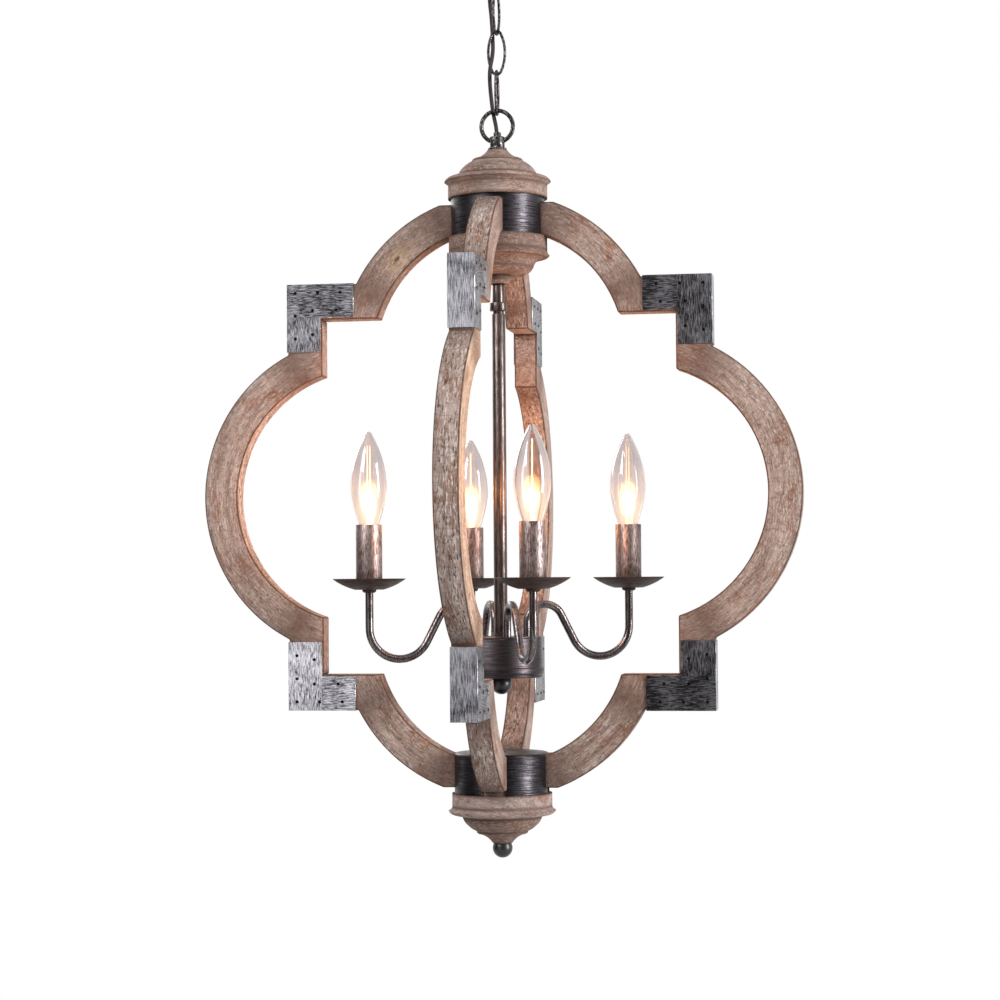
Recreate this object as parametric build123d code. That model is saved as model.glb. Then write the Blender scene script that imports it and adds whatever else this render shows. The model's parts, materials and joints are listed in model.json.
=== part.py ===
from build123d import *
import os
from math import atan2, cos, degrees, hypot, radians, sin, sqrt, tan

# Lantern chandelier: four quatrefoil wings of weathered wood stand round a cluster of four candle lamps,
# and the whole lantern hangs on a short chain from a ceiling canopy.
# Millimetres, +Z up. The origin is the centre of the canopy's rim, on the ceiling.
# The wings point along +X, +Y, -X and -Y, and the front of the lantern is towards -Y.
# Heights named "level" are measured from the lantern's middle plane.

# Threads and fits
thread_clearance = 0.05
slip_clearance = 0.2
wood_bore_clearance = 0.6
seat_gap = 0.1

# Ceiling canopy
canopy_radius = 60.0
canopy_depth = 28.0
canopy_sheet = 1.2
canopy_rim_height = 5.0
canopy_step = 4.0
canopy_crown_radius = 16.0
crossbar_length = 106.0
crossbar_width = 15.0
crossbar_thickness = 1.6
box_screw_spacing = 88.9
box_slot_width = 5.0
box_slot_length = 12.0
nipple_radius = 4.0
nipple_bore_radius = 2.9
nut_across_flats = 14.0
nut_height = 4.0

# Loops at the two ends of the chain, measured from the ring's centre
ring_radius = 14.1
ring_wire_radius = 1.9
knob_radius = 6.6
knob_top = -9.4
knob_base = -20.9
knob_flange_radius = 8.4
knob_flange_height = 1.5
knob_thread_depth = 6.0
bushing_radius = 3.4
bushing_height = 4.0
wireway_radius = 2.4

# Chain
link_length = 41.0
link_width = 17.4
link_wire_radius = 1.25
link_end_radius = 4.2
link_play = 0.3
link_headings = {"chain_link_top": 79.0, "chain_link_middle": 0.0, "chain_link_bottom": 90.0}

# Supply cord, woven through the chain from the canopy loop to the lantern's loop
cord_radius = 1.8
cord_straight_share = 0.45
cord_route = [
    (0.0, 0.0, -34.2), (0.0, 0.0, -43.0), (-1.3, -1.5, -52.0), (-4.8, -4.8, -62.5), (-5.2, -3.4, -70.0),
    (-4.6, 1.6, -81.5), (-4.2, 4.3, -97.5), (-3.0, 0.2, -114.0), (-5.4, -4.4, -129.5), (-6.0, -2.2, -139.5),
    (-5.8, 2.6, -151.5), (-4.4, 4.6, -167.0), (0.0, 0.0, -184.0), (0.0, 0.0, -195.5),
]

# Wings
lobe_offset = 123.0
lobe_radius = 142.0
band_width = 30.0
corner_reach = 188.0
foot_width = 31.0
wood_thickness = 21.0
tongue_reach = 14.0
tongue_start = 50.5
tongue_height = 29.2

# Corner brackets and their nails
bracket_sheet = 0.8
bracket_limb_length = 60.6
bracket_limb_width = 30.4
nail_edge = 7.8
nail_step = 20.4
nail_inner = 23.5
nail_inner_step = 21.5
nail_head_radius = 1.6
nail_head_height = 0.7
nail_shank_radius = 0.75
nail_shank_length = 8.0

# Turned end caps, measured from the plane where the cap meets its drum, which is above the tongues
cap_rim_rise = 5.1
cap_skirt_radius = 43.8
cap_skirt_height = 11.5
cap_flare_height = 3.7
cap_flare_bow = 0.7
cap_lip_radius = 47.0
cap_lip_height = 3.7
cap_lip_bow = -1.0
cap_ledge_radius = 41.5
cap_ledge_height = 1.6
cap_ledge_bow = 0.5
cap_step_radius = 35.0
cap_shoulder_radius = 30.0
cap_shoulder_height = 7.8
cap_shoulder_bow = -0.8
cap_bead_radius = 22.6
cap_slope_height = 4.9
cap_slope_bow = -0.5
cap_bead_height = 2.4
cap_bead_bow = -0.8
cap_cone_radius = 20.2
cap_cone_bow = 1.3
cap_top_radius = 8.6
cap_top_height = 8.1

# Drums that hold the wings' tongues
drum_wall = 1.2
top_drum_radius = 41.3
bottom_drum_radius = 41.7
bottom_drum_crown = 3.0
slot_clearance = 0.6
stud_radius = 3.0
finial_radius = 8.7
finial_sink = 4.3

# Turned neck under the top drum
neck_radius = 43.4
neck_skirt_height = 12.0
neck_lip_radius = 45.4
neck_flare_height = 4.2
neck_flare_bow = -0.5
neck_ledge_radius = 42.0
neck_ledge_height = 1.8
neck_ledge_bow = 0.5
neck_waist_radius = 31.0
neck_waist_drop = 8.6
neck_waist_bow = -2.6
neck_foot_radius = 23.2
neck_foot_drop = 6.4
neck_foot_bow = 1.0

# Stem
stem_collar_radius = 10.6
stem_collar_height = 7.7
stem_tube_radius = 5.3
stem_tube_length = 16.8
coupling_radius = 7.7
coupling_height = 7.1
coupling_waist_radius = 4.8
coupling_waist_height = 2.7
coupling_spigot_length = 9.0
nipple_end_depth = 5.0
rod_radius = 5.9
rod_bore_radius = 4.6

# Hub that carries the arms
hub_top_level = -124.4
hub_height = 35.6
hub_top_radius = 36.0
hub_foot_radius = 36.8
hub_ring_radius = 37.9
hub_ring_height = 5.6
hub_foot_height = 8.7
hub_wall = 1.4
lid_thickness = 1.5
rod_nut_across_flats = 14.0
arm_nut_across_flats = 9.0
arm_nut_height = 3.0
hub_finial_radius = 9.4
hub_finial_sink = 5.6
hub_finial_stud_length = 9.0

# Arms, drip pans and candles
arm_turn = 22.5
arm_reach = 117.0
arm_radius = 3.5
arm_bore_radius = 2.7
riser_reach = 23.5
arch_radius = 16.5
arch_level = -113.0
sag_level = -116.0
arm_lean = 27.15
arm_end_depth = 8.0
pan_rim_level = -73.3
pan_radius = 31.6
pan_depth = 9.2
pan_sheet = 1.0
pan_belly = 1.0
pan_seat_radius = 12.4
pan_collar_radius = 6.1
pan_collar_height = 2.6
pan_flange_height = 1.3
pan_collar_neck_radius = 4.7
pan_cup_height = 4.0
sleeve_radius = 11.4
sleeve_wall = 0.8
sleeve_top_level = -26.2
socket_radius = 8.5
socket_floor = 6.0
socket_drop = 7.0

# Candle bulbs
bulb_radius = 15.8
bulb_waist_level = 4.0
bulb_tip_level = 54.8
bulb_tip_radius = 3.2
bulb_tip_height = 2.6
bulb_taper_bow = -3.4
bulb_neck_radius = 7.8
bulb_swell_bow = -1.2
bulb_neck_level = -28.0
bulb_glass = 0.7
screw_cap_radius = 5.9
screw_cap_length = 16.0
screw_cap_shoulder = 4.0
bulb_neck_band = 1.0
screw_cap_clearance = 0.3
contact_radius = 2.5
contact_length = 4.0
bulb_mount_radius = 2.6
bulb_mount_tip_radius = 1.2
bulb_mount_height = 22.0

# Levels that follow from the sizes above
link_half = link_length / 2 - link_wire_radius
ring_hook = ring_wire_radius + link_wire_radius + link_play
link_hook = 2 * link_wire_radius + link_play
canopy_ring_z = -canopy_depth + knob_base
chain_top_z = canopy_ring_z - ring_radius + ring_hook
chain_pitch = 2 * link_half - link_hook
chain_bottom_z = chain_top_z - 2 * link_half - 2 * chain_pitch
top_ring_z = chain_bottom_z + ring_hook - ring_radius
cap_height = (
    cap_skirt_height + cap_flare_height + cap_lip_height + cap_ledge_height + cap_shoulder_height
    + cap_slope_height + cap_bead_height + cap_top_height
)
tongue_top_level = lobe_offset + sqrt(lobe_radius**2 - tongue_start**2)
tongue_bottom_level = tongue_top_level - tongue_height
cap_rim_level = tongue_top_level + cap_rim_rise
middle_z = top_ring_z + knob_base - cap_height - cap_rim_level
neck_height = neck_skirt_height + neck_flare_height + neck_ledge_height + neck_waist_drop + neck_foot_drop
collar_level = tongue_bottom_level - neck_height
tube_level = collar_level - stem_collar_height
coupling_level = tube_level - stem_tube_length
rod_top_level = coupling_level - coupling_height - coupling_waist_height
hub_bottom_level = hub_top_level - hub_height
pan_floor_level = pan_rim_level - pan_depth
# The lower bend of an arm fills the room that the reach and the slope leave it
sag_radius = (
    (arm_reach - riser_reach - arch_radius) * cos(radians(arm_lean))
    + (sag_level - arch_level) * sin(radians(arm_lean)) - arch_radius
) / (1 + cos(radians(arm_lean)))
inner_corner = corner_reach - foot_width
inner_radius = lobe_radius - band_width

quarters = {"right": 0.0, "back": 90.0, "left": 180.0, "front": 270.0}


def save(name, *solids):
    """Write one named piece, or a group of like pieces, as a STEP file."""
    shape = solids[0] if len(solids) == 1 else Compound(list(solids))
    export_step(shape, os.path.join("parts", name + ".step"))


def closed_face(steps):
    """Face on the XZ plane inside a closed outline.

    A step is a point, reached by a straight line, or a pair of points: an arc through the first to the second.
    """
    edges = []
    here = steps[0]
    for step in steps[1:] + steps[:1]:
        if isinstance(step[0], tuple):
            edges.append(ThreePointArc(here, step[0], step[1]))
            here = step[1]
        else:
            edges.append(Line(here, step))
            here = step
    return make_face(Plane.XZ * Curve(edges))


def turned(steps):
    """Solid turned about the Z axis from an outline of (radius, height) steps."""
    return revolve(closed_face(steps), Axis.Z)


def slab(steps, thickness):
    """Flat piece of an outline on the XZ plane, centred on that plane."""
    return extrude(closed_face(steps), thickness / 2, both=True)


def rod_between(radius, low, high):
    """Upright cylinder between two heights."""
    return Pos(0, 0, low) * Cylinder(radius, high - low, align=(Align.CENTER, Align.CENTER, Align.MIN))


def tube_between(radius, bore, low, high):
    """Upright tube between two heights."""
    return turned([(bore, low), (radius, low), (radius, high), (bore, high)])


def hex_nut(across_flats, bore, low, height):
    """Hexagon nut on the Z axis."""
    blank = extrude(RegularPolygon(across_flats / 2, 6, major_radius=False), height)
    return Pos(0, 0, low) * blank - rod_between(bore, low - height, low + 2 * height)


def on_circle(centre, radius, angle):
    """Point of a circle on the XZ plane, with the angle in degrees from +X towards +Z."""
    return (centre[0] + radius * cos(radians(angle)), centre[1] + radius * sin(radians(angle)))


def bowed(start, end, bow):
    """Arc step between two points, whose middle stands off their line by the bow, to the left of travel."""
    across = end[0] - start[0]
    along = end[1] - start[1]
    share = bow / hypot(across, along)
    return (((start[0] + end[0]) / 2 - share * along, (start[1] + end[1]) / 2 + share * across), end)


def canopy():
    """Spun dish with a straight rim, one step and a domed crown, bored for the nipple."""
    def outline(inset):
        rim = canopy_radius - inset
        shoulder = rim - canopy_step
        dome_top = -canopy_rim_height + inset
        crown = -canopy_depth + inset
        reach = shoulder - canopy_crown_radius
        drop = dome_top - crown
        dome_radius = (reach**2 + drop**2) / (2 * drop)
        half_turn = degrees(atan2(reach, dome_radius - drop)) / 2
        bulge = on_circle((canopy_crown_radius, crown + dome_radius), dome_radius, half_turn - 90.0)
        return [(rim, 0.0), (rim, dome_top), (shoulder, dome_top), (bulge, (canopy_crown_radius, crown))]
    bore = nipple_radius + slip_clearance
    outside = turned([(0.0, 0.0)] + outline(0.0) + [(0.0, -canopy_depth)])
    inside = turned([(0.0, 0.0)] + outline(canopy_sheet) + [(0.0, -canopy_depth + canopy_sheet)])
    return outside - inside - rod_between(bore, -canopy_depth, 0.0)


def crossbar():
    """Mounting strap across the outlet box, with a slot for each box screw."""
    bar = Rectangle(crossbar_length, crossbar_width) - Circle(nipple_radius + thread_clearance)
    for side in (-1, 1):
        bar -= Pos(side * box_screw_spacing / 2, 0) * SlotOverall(box_slot_length, box_slot_width)
    return Pos(0, 0, -crossbar_thickness) * extrude(bar, crossbar_thickness)


def hanging_loop():
    """Cast ring on a knob that is bored for the cord and threaded for a nipple, ring at the origin."""
    ring = Plane.XZ * Torus(ring_radius, ring_wire_radius)
    knob = turned([
        (0.0, knob_base), (knob_flange_radius, knob_base), (knob_flange_radius, knob_base + knob_flange_height),
        (knob_radius, knob_base + knob_flange_height), (knob_radius, knob_top), (bushing_radius, knob_top),
        (bushing_radius, knob_top + bushing_height), (0.0, knob_top + bushing_height),
    ])
    loop = ring + knob
    loop -= rod_between(wireway_radius, knob_base, knob_top + bushing_height)
    return loop - rod_between(nipple_radius + thread_clearance, knob_base, knob_base + knob_thread_depth)


def chain_link():
    """Welded oval link of round wire on the XZ plane, drawn from four tangent arcs."""
    half_width = link_width / 2 - link_wire_radius
    end_centre = link_half - link_end_radius
    side_radius = (half_width**2 + end_centre**2 - link_end_radius**2) / (2 * (half_width - link_end_radius))
    side_centre = half_width - side_radius
    turn = degrees(atan2(end_centre, -side_centre))
    right_low = on_circle((side_centre, 0), side_radius, -turn)
    right_high = on_circle((side_centre, 0), side_radius, turn)
    left_high = (-right_high[0], right_high[1])
    left_low = (-right_low[0], right_low[1])
    path = Plane.XZ * Curve([
        ThreePointArc(right_low, (half_width, 0), right_high),
        ThreePointArc(right_high, (0, link_half), left_high),
        ThreePointArc(left_high, (-half_width, 0), left_low),
        ThreePointArc(left_low, (0, -link_half), right_low),
    ])
    wire = Wire(path.edges())
    section = Plane(origin=wire @ 0, z_dir=wire % 0) * Circle(link_wire_radius)
    return sweep(section, path=wire)


def chain():
    """The three links, named from the top, at their heights and headings."""
    links = {}
    for step, (name, heading) in enumerate(link_headings.items()):
        centre = chain_top_z - link_half - step * chain_pitch
        links[name] = Pos(0, 0, centre) * Rot(0, 0, heading) * chain_link()
    return links


def supply_cord():
    """Round cord along straight runs and arcs as large as the runs allow."""
    points = [Vector(*p) for p in cord_route]
    radii = []
    for before, here, after in zip(points, points[1:], points[2:]):
        turn = radians((here - before).get_angle(after - here))
        shorter = min((here - before).length, (after - here).length)
        radii.append(cord_straight_share * shorter / tan(turn / 2))
    path = FilletPolyline(*points, radius=radii)
    section = Plane(origin=path @ 0, z_dir=path % 0) * Circle(cord_radius)
    cord = sweep(section, path=path)
    print("cord radii", [round(r, 1) for r in radii], "length", round(path.length, 1))
    print("cord volume over section times length", round(cord.volume / (section.area * path.length), 4))
    return cord


def shank_places():
    """Nail places on one bracket face, as distances from its two outer edges."""
    row = [nail_edge + step * nail_step for step in range(3)]
    outer = [(a, nail_edge) for a in row] + [(nail_edge, a) for a in row[1:]]
    far = nail_inner + nail_inner_step
    return outer + [(nail_inner, nail_inner), (far, nail_inner), (nail_inner, far)]


def upper_nails(oversize):
    """Nails of one wing's upper bracket, or with an oversize the holes they are driven through."""
    outer = corner_reach + seat_gap + bracket_sheet
    face = wood_thickness / 2 + seat_gap + bracket_sheet
    bulge = (nail_head_radius**2 + nail_head_height**2) / (2 * nail_head_height)
    tip = face - nail_shank_length
    shank = rod_between(nail_shank_radius + oversize, tip, face)
    head = Pos(0, 0, face + nail_head_height - bulge) * Sphere(bulge)
    head &= rod_between(nail_head_radius, face, face + nail_head_height)
    nail = shank if oversize else shank + head
    nails = []
    for along, across in shank_places():
        place = Pos(outer - along, 0, outer - across)
        nails += [place * Rot(X=90) * nail, place * Rot(X=-90) * nail]
    return nails


def upper_arc():
    """Wood from the top drum to the corner of the +X wing, with its tongue and its square foot."""
    middle = (0.0, lobe_offset)
    outer_end = sqrt(lobe_radius**2 - (corner_reach - lobe_offset)**2)
    inner_start = sqrt(inner_radius**2 - (inner_corner - lobe_offset)**2)
    shoulder = neck_radius + seat_gap
    shoulder_level = lobe_offset + sqrt(inner_radius**2 - shoulder**2)
    outer_middle = degrees(atan2(tongue_top_level - lobe_offset, tongue_start)) / 2
    outer_middle += degrees(atan2(corner_reach - lobe_offset, outer_end)) / 2
    inner_middle = degrees(atan2(shoulder_level - lobe_offset, shoulder)) / 2
    inner_middle += degrees(atan2(inner_corner - lobe_offset, inner_start)) / 2
    wood = slab([
        (tongue_reach, tongue_top_level), (tongue_start, tongue_top_level),
        (on_circle(middle, lobe_radius, outer_middle), (outer_end, corner_reach)),
        (corner_reach, corner_reach), (corner_reach, inner_corner), (inner_start, inner_corner),
        (on_circle(middle, inner_radius, inner_middle), (shoulder, shoulder_level)),
        (shoulder, tongue_bottom_level), (tongue_reach, tongue_bottom_level),
    ], wood_thickness)
    return wood - upper_nails(seat_gap)


def side_arc():
    """Wood of the side lobe of the +X wing, with a square foot under each corner."""
    outer_end = sqrt(lobe_radius**2 - (corner_reach - lobe_offset)**2)
    inner_end = sqrt(inner_radius**2 - (inner_corner - lobe_offset)**2)
    wood = slab([
        (inner_corner, inner_corner), (corner_reach, inner_corner), (corner_reach, outer_end),
        ((lobe_offset + lobe_radius, 0.0), (corner_reach, -outer_end)),
        (corner_reach, -inner_corner), (inner_corner, -inner_corner), (inner_corner, -inner_end),
        ((lobe_offset + inner_radius, 0.0), (inner_corner, inner_end)),
    ], wood_thickness)
    holes = upper_nails(seat_gap)
    return wood - holes - [mirror(hole, Plane.XY) for hole in holes]


def upper_bracket():
    """Folded sheet corner: an L plate on each face, joined by the strips over the two outer edges."""
    outer = corner_reach + seat_gap + bracket_sheet
    end = outer - bracket_limb_length
    inside = outer - bracket_limb_width
    thickness = wood_thickness + 2 * (seat_gap + bracket_sheet)
    blank = slab([(end, outer), (outer, outer), (outer, end), (inside, end), (inside, inside), (end, inside)],
                 thickness)
    cavity = outer - bracket_sheet
    start = end - bracket_sheet
    space = slab([(start, start), (cavity, start), (cavity, cavity), (start, cavity)],
                 wood_thickness + 2 * seat_gap)
    return blank - space - upper_nails(seat_gap)


def end_cap(bore):
    """Turned wooden cap with its spigot, standing on the plane where it meets the drum."""
    skirt = (cap_skirt_radius, cap_skirt_height)
    lip = (cap_lip_radius, skirt[1] + cap_flare_height)
    ledge = (cap_ledge_radius, lip[1] + cap_lip_height)
    step = (cap_step_radius, ledge[1] + cap_ledge_height)
    shoulder = (cap_shoulder_radius, step[1] + cap_shoulder_height)
    bead = (cap_bead_radius, shoulder[1] + cap_slope_height)
    cone = (cap_cone_radius, bead[1] + cap_bead_height)
    top = (cap_top_radius, cone[1] + cap_top_height)
    spigot_radius = min(top_drum_radius, bottom_drum_radius) - drum_wall - slip_clearance
    spigot = cap_rim_level - tongue_top_level
    return turned([
        (bore, -spigot), (spigot_radius, -spigot), (spigot_radius, 0.0), (cap_skirt_radius, 0.0), skirt,
        bowed(skirt, lip, cap_flare_bow), bowed(lip, ledge, cap_lip_bow), bowed(ledge, step, cap_ledge_bow),
        bowed(step, shoulder, cap_shoulder_bow), bowed(shoulder, bead, cap_slope_bow),
        bowed(bead, cone, cap_bead_bow), bowed(cone, top, cap_cone_bow), (bore, top[1]),
    ])


def drum_slots(radius, low, high):
    """Four upright slots through a drum's wall, one for each wing's tongue."""
    width = wood_thickness + 2 * slot_clearance
    bar = Pos(0, 0, low) * Box(2 * (radius + drum_wall), width, high - low, align=(Align.CENTER, Align.CENTER, Align.MIN))
    return [bar, Rot(0, 0, 90) * bar]


def top_drum():
    """Open band between cap and neck, slotted from below for the tongues."""
    band = tube_between(top_drum_radius, top_drum_radius - drum_wall, tongue_bottom_level, cap_rim_level)
    return band - drum_slots(top_drum_radius, tongue_bottom_level, tongue_top_level + slot_clearance)


def bottom_drum():
    """Spun cup with a closed, rounded top, slotted from below for the tongues."""
    top = -tongue_bottom_level + drum_wall
    edge = bottom_drum_radius - bottom_drum_crown
    inner = bottom_drum_radius - drum_wall
    soft = bottom_drum_crown * (1 - sqrt(0.5))
    inner_soft = (bottom_drum_crown - drum_wall) * (1 - sqrt(0.5))
    cup = turned([
        (stud_radius + seat_gap, top), (edge, top),
        ((bottom_drum_radius - soft, top - soft), (bottom_drum_radius, top - bottom_drum_crown)),
        (bottom_drum_radius, -cap_rim_level), (inner, -cap_rim_level), (inner, top - bottom_drum_crown),
        ((inner - inner_soft, top - drum_wall - inner_soft), (edge, top - drum_wall)),
        (stud_radius + seat_gap, top - drum_wall),
    ])
    return cup - drum_slots(bottom_drum_radius, -cap_rim_level, -tongue_bottom_level)


def top_neck():
    """Turned wooden neck from the top drum down to the stem's collar."""
    bore = nipple_radius + wood_bore_clearance
    skirt = (neck_radius, tongue_bottom_level - neck_skirt_height)
    lip = (neck_lip_radius, skirt[1] - neck_flare_height)
    ledge = (neck_ledge_radius, lip[1] - neck_ledge_height)
    waist = (neck_waist_radius, ledge[1] - neck_waist_drop)
    foot = (neck_foot_radius, collar_level)
    return turned([
        (bore, tongue_bottom_level), (neck_radius, tongue_bottom_level), skirt,
        bowed(skirt, lip, neck_flare_bow), bowed(lip, ledge, neck_ledge_bow), bowed(ledge, waist, neck_waist_bow),
        bowed(waist, foot, neck_foot_bow), (bore, collar_level),
    ])


def ball_finial(radius, sink, stud, stud_height, seat):
    """Ball cut flat where it meets its seat, with a threaded stud standing on the flat."""
    ball = Pos(0, 0, seat - sink) * Sphere(radius)
    ball -= rod_between(radius, seat, seat + radius)
    return ball + rod_between(stud, seat - sink, seat + stud_height)


def stem_coupling():
    """Flared coupling, threaded on the nipple above and spigoted into the rod below."""
    waist = coupling_level - coupling_height
    end = rod_top_level - coupling_spigot_length
    spigot = rod_bore_radius - thread_clearance
    body = turned([
        (nipple_bore_radius, coupling_level), (coupling_radius, coupling_level), (coupling_radius, waist),
        (coupling_waist_radius, waist), (coupling_waist_radius, rod_top_level), (spigot, rod_top_level),
        (spigot, end), (nipple_bore_radius, end),
    ])
    return body - rod_between(nipple_radius + thread_clearance, coupling_level - nipple_end_depth, coupling_level)


def hub_cup():
    """Spun cup with a beaded foot, bored below for the finial's stud."""
    rim = hub_top_level - lid_thickness
    foot = hub_bottom_level + hub_foot_height
    ring = foot - hub_ring_height
    floor = hub_bottom_level + hub_wall
    bore = rod_bore_radius
    return turned([
        (bore, hub_bottom_level), (hub_foot_radius, hub_bottom_level), (hub_foot_radius, ring),
        (hub_ring_radius, ring), (hub_ring_radius, foot), (hub_foot_radius, foot),
        (hub_top_radius, rim), (hub_top_radius - hub_wall, rim),
        (hub_foot_radius - hub_wall, foot), (hub_foot_radius - hub_wall, floor), (bore, floor),
    ])


def hub_lid():
    """Disc on the cup's rim that carries the rod and the four arms."""
    low = hub_top_level - lid_thickness
    lid = tube_between(hub_top_radius, rod_radius + seat_gap, low, hub_top_level)
    for turn in quarters.values():
        hole = rod_between(arm_radius + seat_gap, low, hub_top_level)
        lid -= Rot(0, 0, turn + arm_turn) * Pos(riser_reach, 0, 0) * hole
    return lid


def arm():
    """Bent tube: up from the hub, over an arch, down through a sag and up to the candle, along +X."""
    arch = (riser_reach + arch_radius, arch_level)
    sag = (arm_reach - sag_radius, sag_level)
    arch_end = on_circle(arch, arch_radius, arm_lean)
    sag_start = on_circle(sag, sag_radius, arm_lean + 180.0)
    foot = hub_top_level - lid_thickness - arm_end_depth
    head = pan_floor_level + pan_sheet + pan_cup_height
    path = Plane.XZ * Curve([
        Line((riser_reach, foot), (riser_reach, arch_level)),
        ThreePointArc((riser_reach, arch_level), on_circle(arch, arch_radius, (arm_lean + 180.0) / 2), arch_end),
        Line(arch_end, sag_start),
        ThreePointArc(sag_start, on_circle(sag, sag_radius, (arm_lean + 180.0 + 360.0) / 2), (arm_reach, sag_level)),
        Line((arm_reach, sag_level), (arm_reach, head)),
    ])
    section = Pos(riser_reach, 0, foot) * (Circle(arm_radius) - Circle(arm_bore_radius))
    return sweep(section, path=Wire(path.edges()))


def drip_pan():
    """Shallow spun dish with a flat seat, bored for the arm, on the Z axis."""
    bore = arm_radius + seat_gap
    floor = pan_floor_level + pan_sheet
    seat = (pan_seat_radius, pan_floor_level)
    rim = (pan_radius, pan_rim_level)
    inner_rim = (pan_radius, pan_rim_level + pan_sheet / 2)
    inner_seat = (pan_seat_radius, floor)
    return turned([
        (bore, pan_floor_level), seat, bowed(seat, rim, -pan_belly), inner_rim,
        bowed(inner_rim, inner_seat, pan_belly), (bore, floor),
    ])


def pan_collar():
    """Small flanged collar on the arm, under the pan."""
    bore = arm_radius + thread_clearance
    low = pan_floor_level - pan_collar_height
    flange = pan_floor_level - pan_flange_height
    return turned([
        (bore, low), (pan_collar_neck_radius, low), (pan_collar_neck_radius, flange),
        (pan_collar_radius, flange), (pan_collar_radius, pan_floor_level), (bore, pan_floor_level),
    ])


def candle_sleeve():
    """Metal tube over the lamp socket, standing on the pan."""
    return tube_between(sleeve_radius, sleeve_radius - sleeve_wall, pan_floor_level + pan_sheet, sleeve_top_level)


def lamp_socket():
    """Insulating socket on the arm's end, bored above for the bulb's screw cap."""
    floor = pan_floor_level + pan_sheet
    top = sleeve_top_level - socket_drop
    well = rod_between(screw_cap_radius + screw_cap_clearance, floor + pan_cup_height + socket_floor, top)
    neck = rod_between(arm_radius + thread_clearance, floor, floor + pan_cup_height)
    wires = rod_between(arm_bore_radius, floor, top)
    return rod_between(socket_radius, floor, top) - well - neck - wires


def bulb_glass_shell():
    """Clear torpedo envelope, open at its neck."""
    def outline(inset):
        tip = (0.0, bulb_tip_level - inset)
        shoulder = (bulb_tip_radius - inset, tip[1] - bulb_tip_height)
        ball = (shoulder[0]**2 + bulb_tip_height**2) / (2 * bulb_tip_height)
        ball_centre = (0.0, tip[1] - ball)
        start = degrees(atan2(shoulder[1] - ball_centre[1], shoulder[0]))
        cheek = on_circle(ball_centre, ball, (start + 90.0) / 2)
        waist = (bulb_radius - inset, bulb_waist_level)
        neck = (bulb_neck_radius - inset, bulb_neck_level)
        return neck, waist, shoulder, cheek, tip
    neck, waist, shoulder, cheek, tip = outline(0.0)
    inner_neck, inner_waist, inner_shoulder, inner_cheek, inner_tip = outline(bulb_glass)
    return turned([
        neck, bowed(neck, waist, bulb_swell_bow), bowed(waist, shoulder, bulb_taper_bow), (cheek, tip),
        inner_tip, (inner_cheek, inner_shoulder), bowed(inner_shoulder, inner_waist, -bulb_taper_bow),
        bowed(inner_waist, inner_neck, -bulb_swell_bow),
    ])


def bulb_base():
    """Screw cap with its contact, and the glass mount that stands on it inside the envelope."""
    shoulder = bulb_neck_level - screw_cap_shoulder
    end = shoulder - screw_cap_length
    cap = turned([
        (0.0, end - contact_length), (contact_radius, end - contact_length), (screw_cap_radius, end),
        (screw_cap_radius, shoulder), (bulb_neck_radius, bulb_neck_level - bulb_neck_band),
        (bulb_neck_radius, bulb_neck_level), (0.0, bulb_neck_level),
    ])
    mount = turned([
        (0.0, bulb_neck_level), (bulb_mount_radius, bulb_neck_level),
        (bulb_mount_tip_radius, bulb_neck_level + bulb_mount_height), (0.0, bulb_neck_level + bulb_mount_height),
    ])
    return cap, mount


def build_hanging_gear():
    """Canopy with its fixings and loop, the chain and the cord."""
    save("canopy", canopy())
    save("crossbar", crossbar())
    save("canopy_nipple", tube_between(nipple_radius, nipple_bore_radius,
                                       -canopy_depth - knob_thread_depth + seat_gap, 0.0))
    save("canopy_nut", hex_nut(nut_across_flats, nipple_radius + thread_clearance,
                               -crossbar_thickness - nut_height, nut_height))
    save("canopy_loop", Pos(0, 0, canopy_ring_z) * Rot(X=180) * hanging_loop())
    for name, link in chain().items():
        save(name, link)
    save("supply_cord", supply_cord())


def build_wings():
    """Twelve arcs of wood, their corner brackets and the nails."""
    upper = upper_arc()
    side = side_arc()
    bracket = upper_bracket()
    nails = upper_nails(0.0)
    brackets = []
    wing_nails = []
    for quarter, turn in quarters.items():
        place = Pos(0, 0, middle_z) * Rot(0, 0, turn)
        save(f"{quarter}_upper_arc", place * upper)
        save(f"{quarter}_side_arc", place * side)
        save(f"{quarter}_lower_arc", place * mirror(upper, Plane.XY))
        brackets.append(place * bracket)
        wing_nails += [place * nail for nail in nails]
        wing_nails += [place * mirror(nail, Plane.XY) for nail in nails]
    save("upper_brackets", *brackets)
    lower_place = [Pos(0, 0, middle_z) * Rot(0, 0, turn) for turn in quarters.values()]
    save("lower_brackets", *[place * mirror(bracket, Plane.XY) for place in lower_place])
    save("bracket_nails", *wing_nails)


def build_ends():
    """Loop, cap, drum and neck above, and drum, cap and finial below."""
    level = Pos(0, 0, middle_z)
    cap_top = cap_rim_level + cap_height
    save("top_loop", Pos(0, 0, top_ring_z) * hanging_loop())
    save("top_cap", level * Pos(0, 0, cap_rim_level) * end_cap(nipple_radius + wood_bore_clearance))
    save("top_drum", level * top_drum())
    save("top_neck", level * top_neck())
    save("top_nipple", level * tube_between(nipple_radius, nipple_bore_radius,
                                            coupling_level - nipple_end_depth + seat_gap,
                                            cap_top + knob_thread_depth - seat_gap))
    save("bottom_drum", level * bottom_drum())
    lower_cap = mirror(end_cap(stud_radius + wood_bore_clearance), Plane.XY)
    save("bottom_cap", level * Pos(0, 0, -cap_rim_level) * lower_cap)
    save("bottom_finial", level * ball_finial(finial_radius, finial_sink, stud_radius,
                                              cap_top - tongue_bottom_level + drum_wall, -cap_top))


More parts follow.
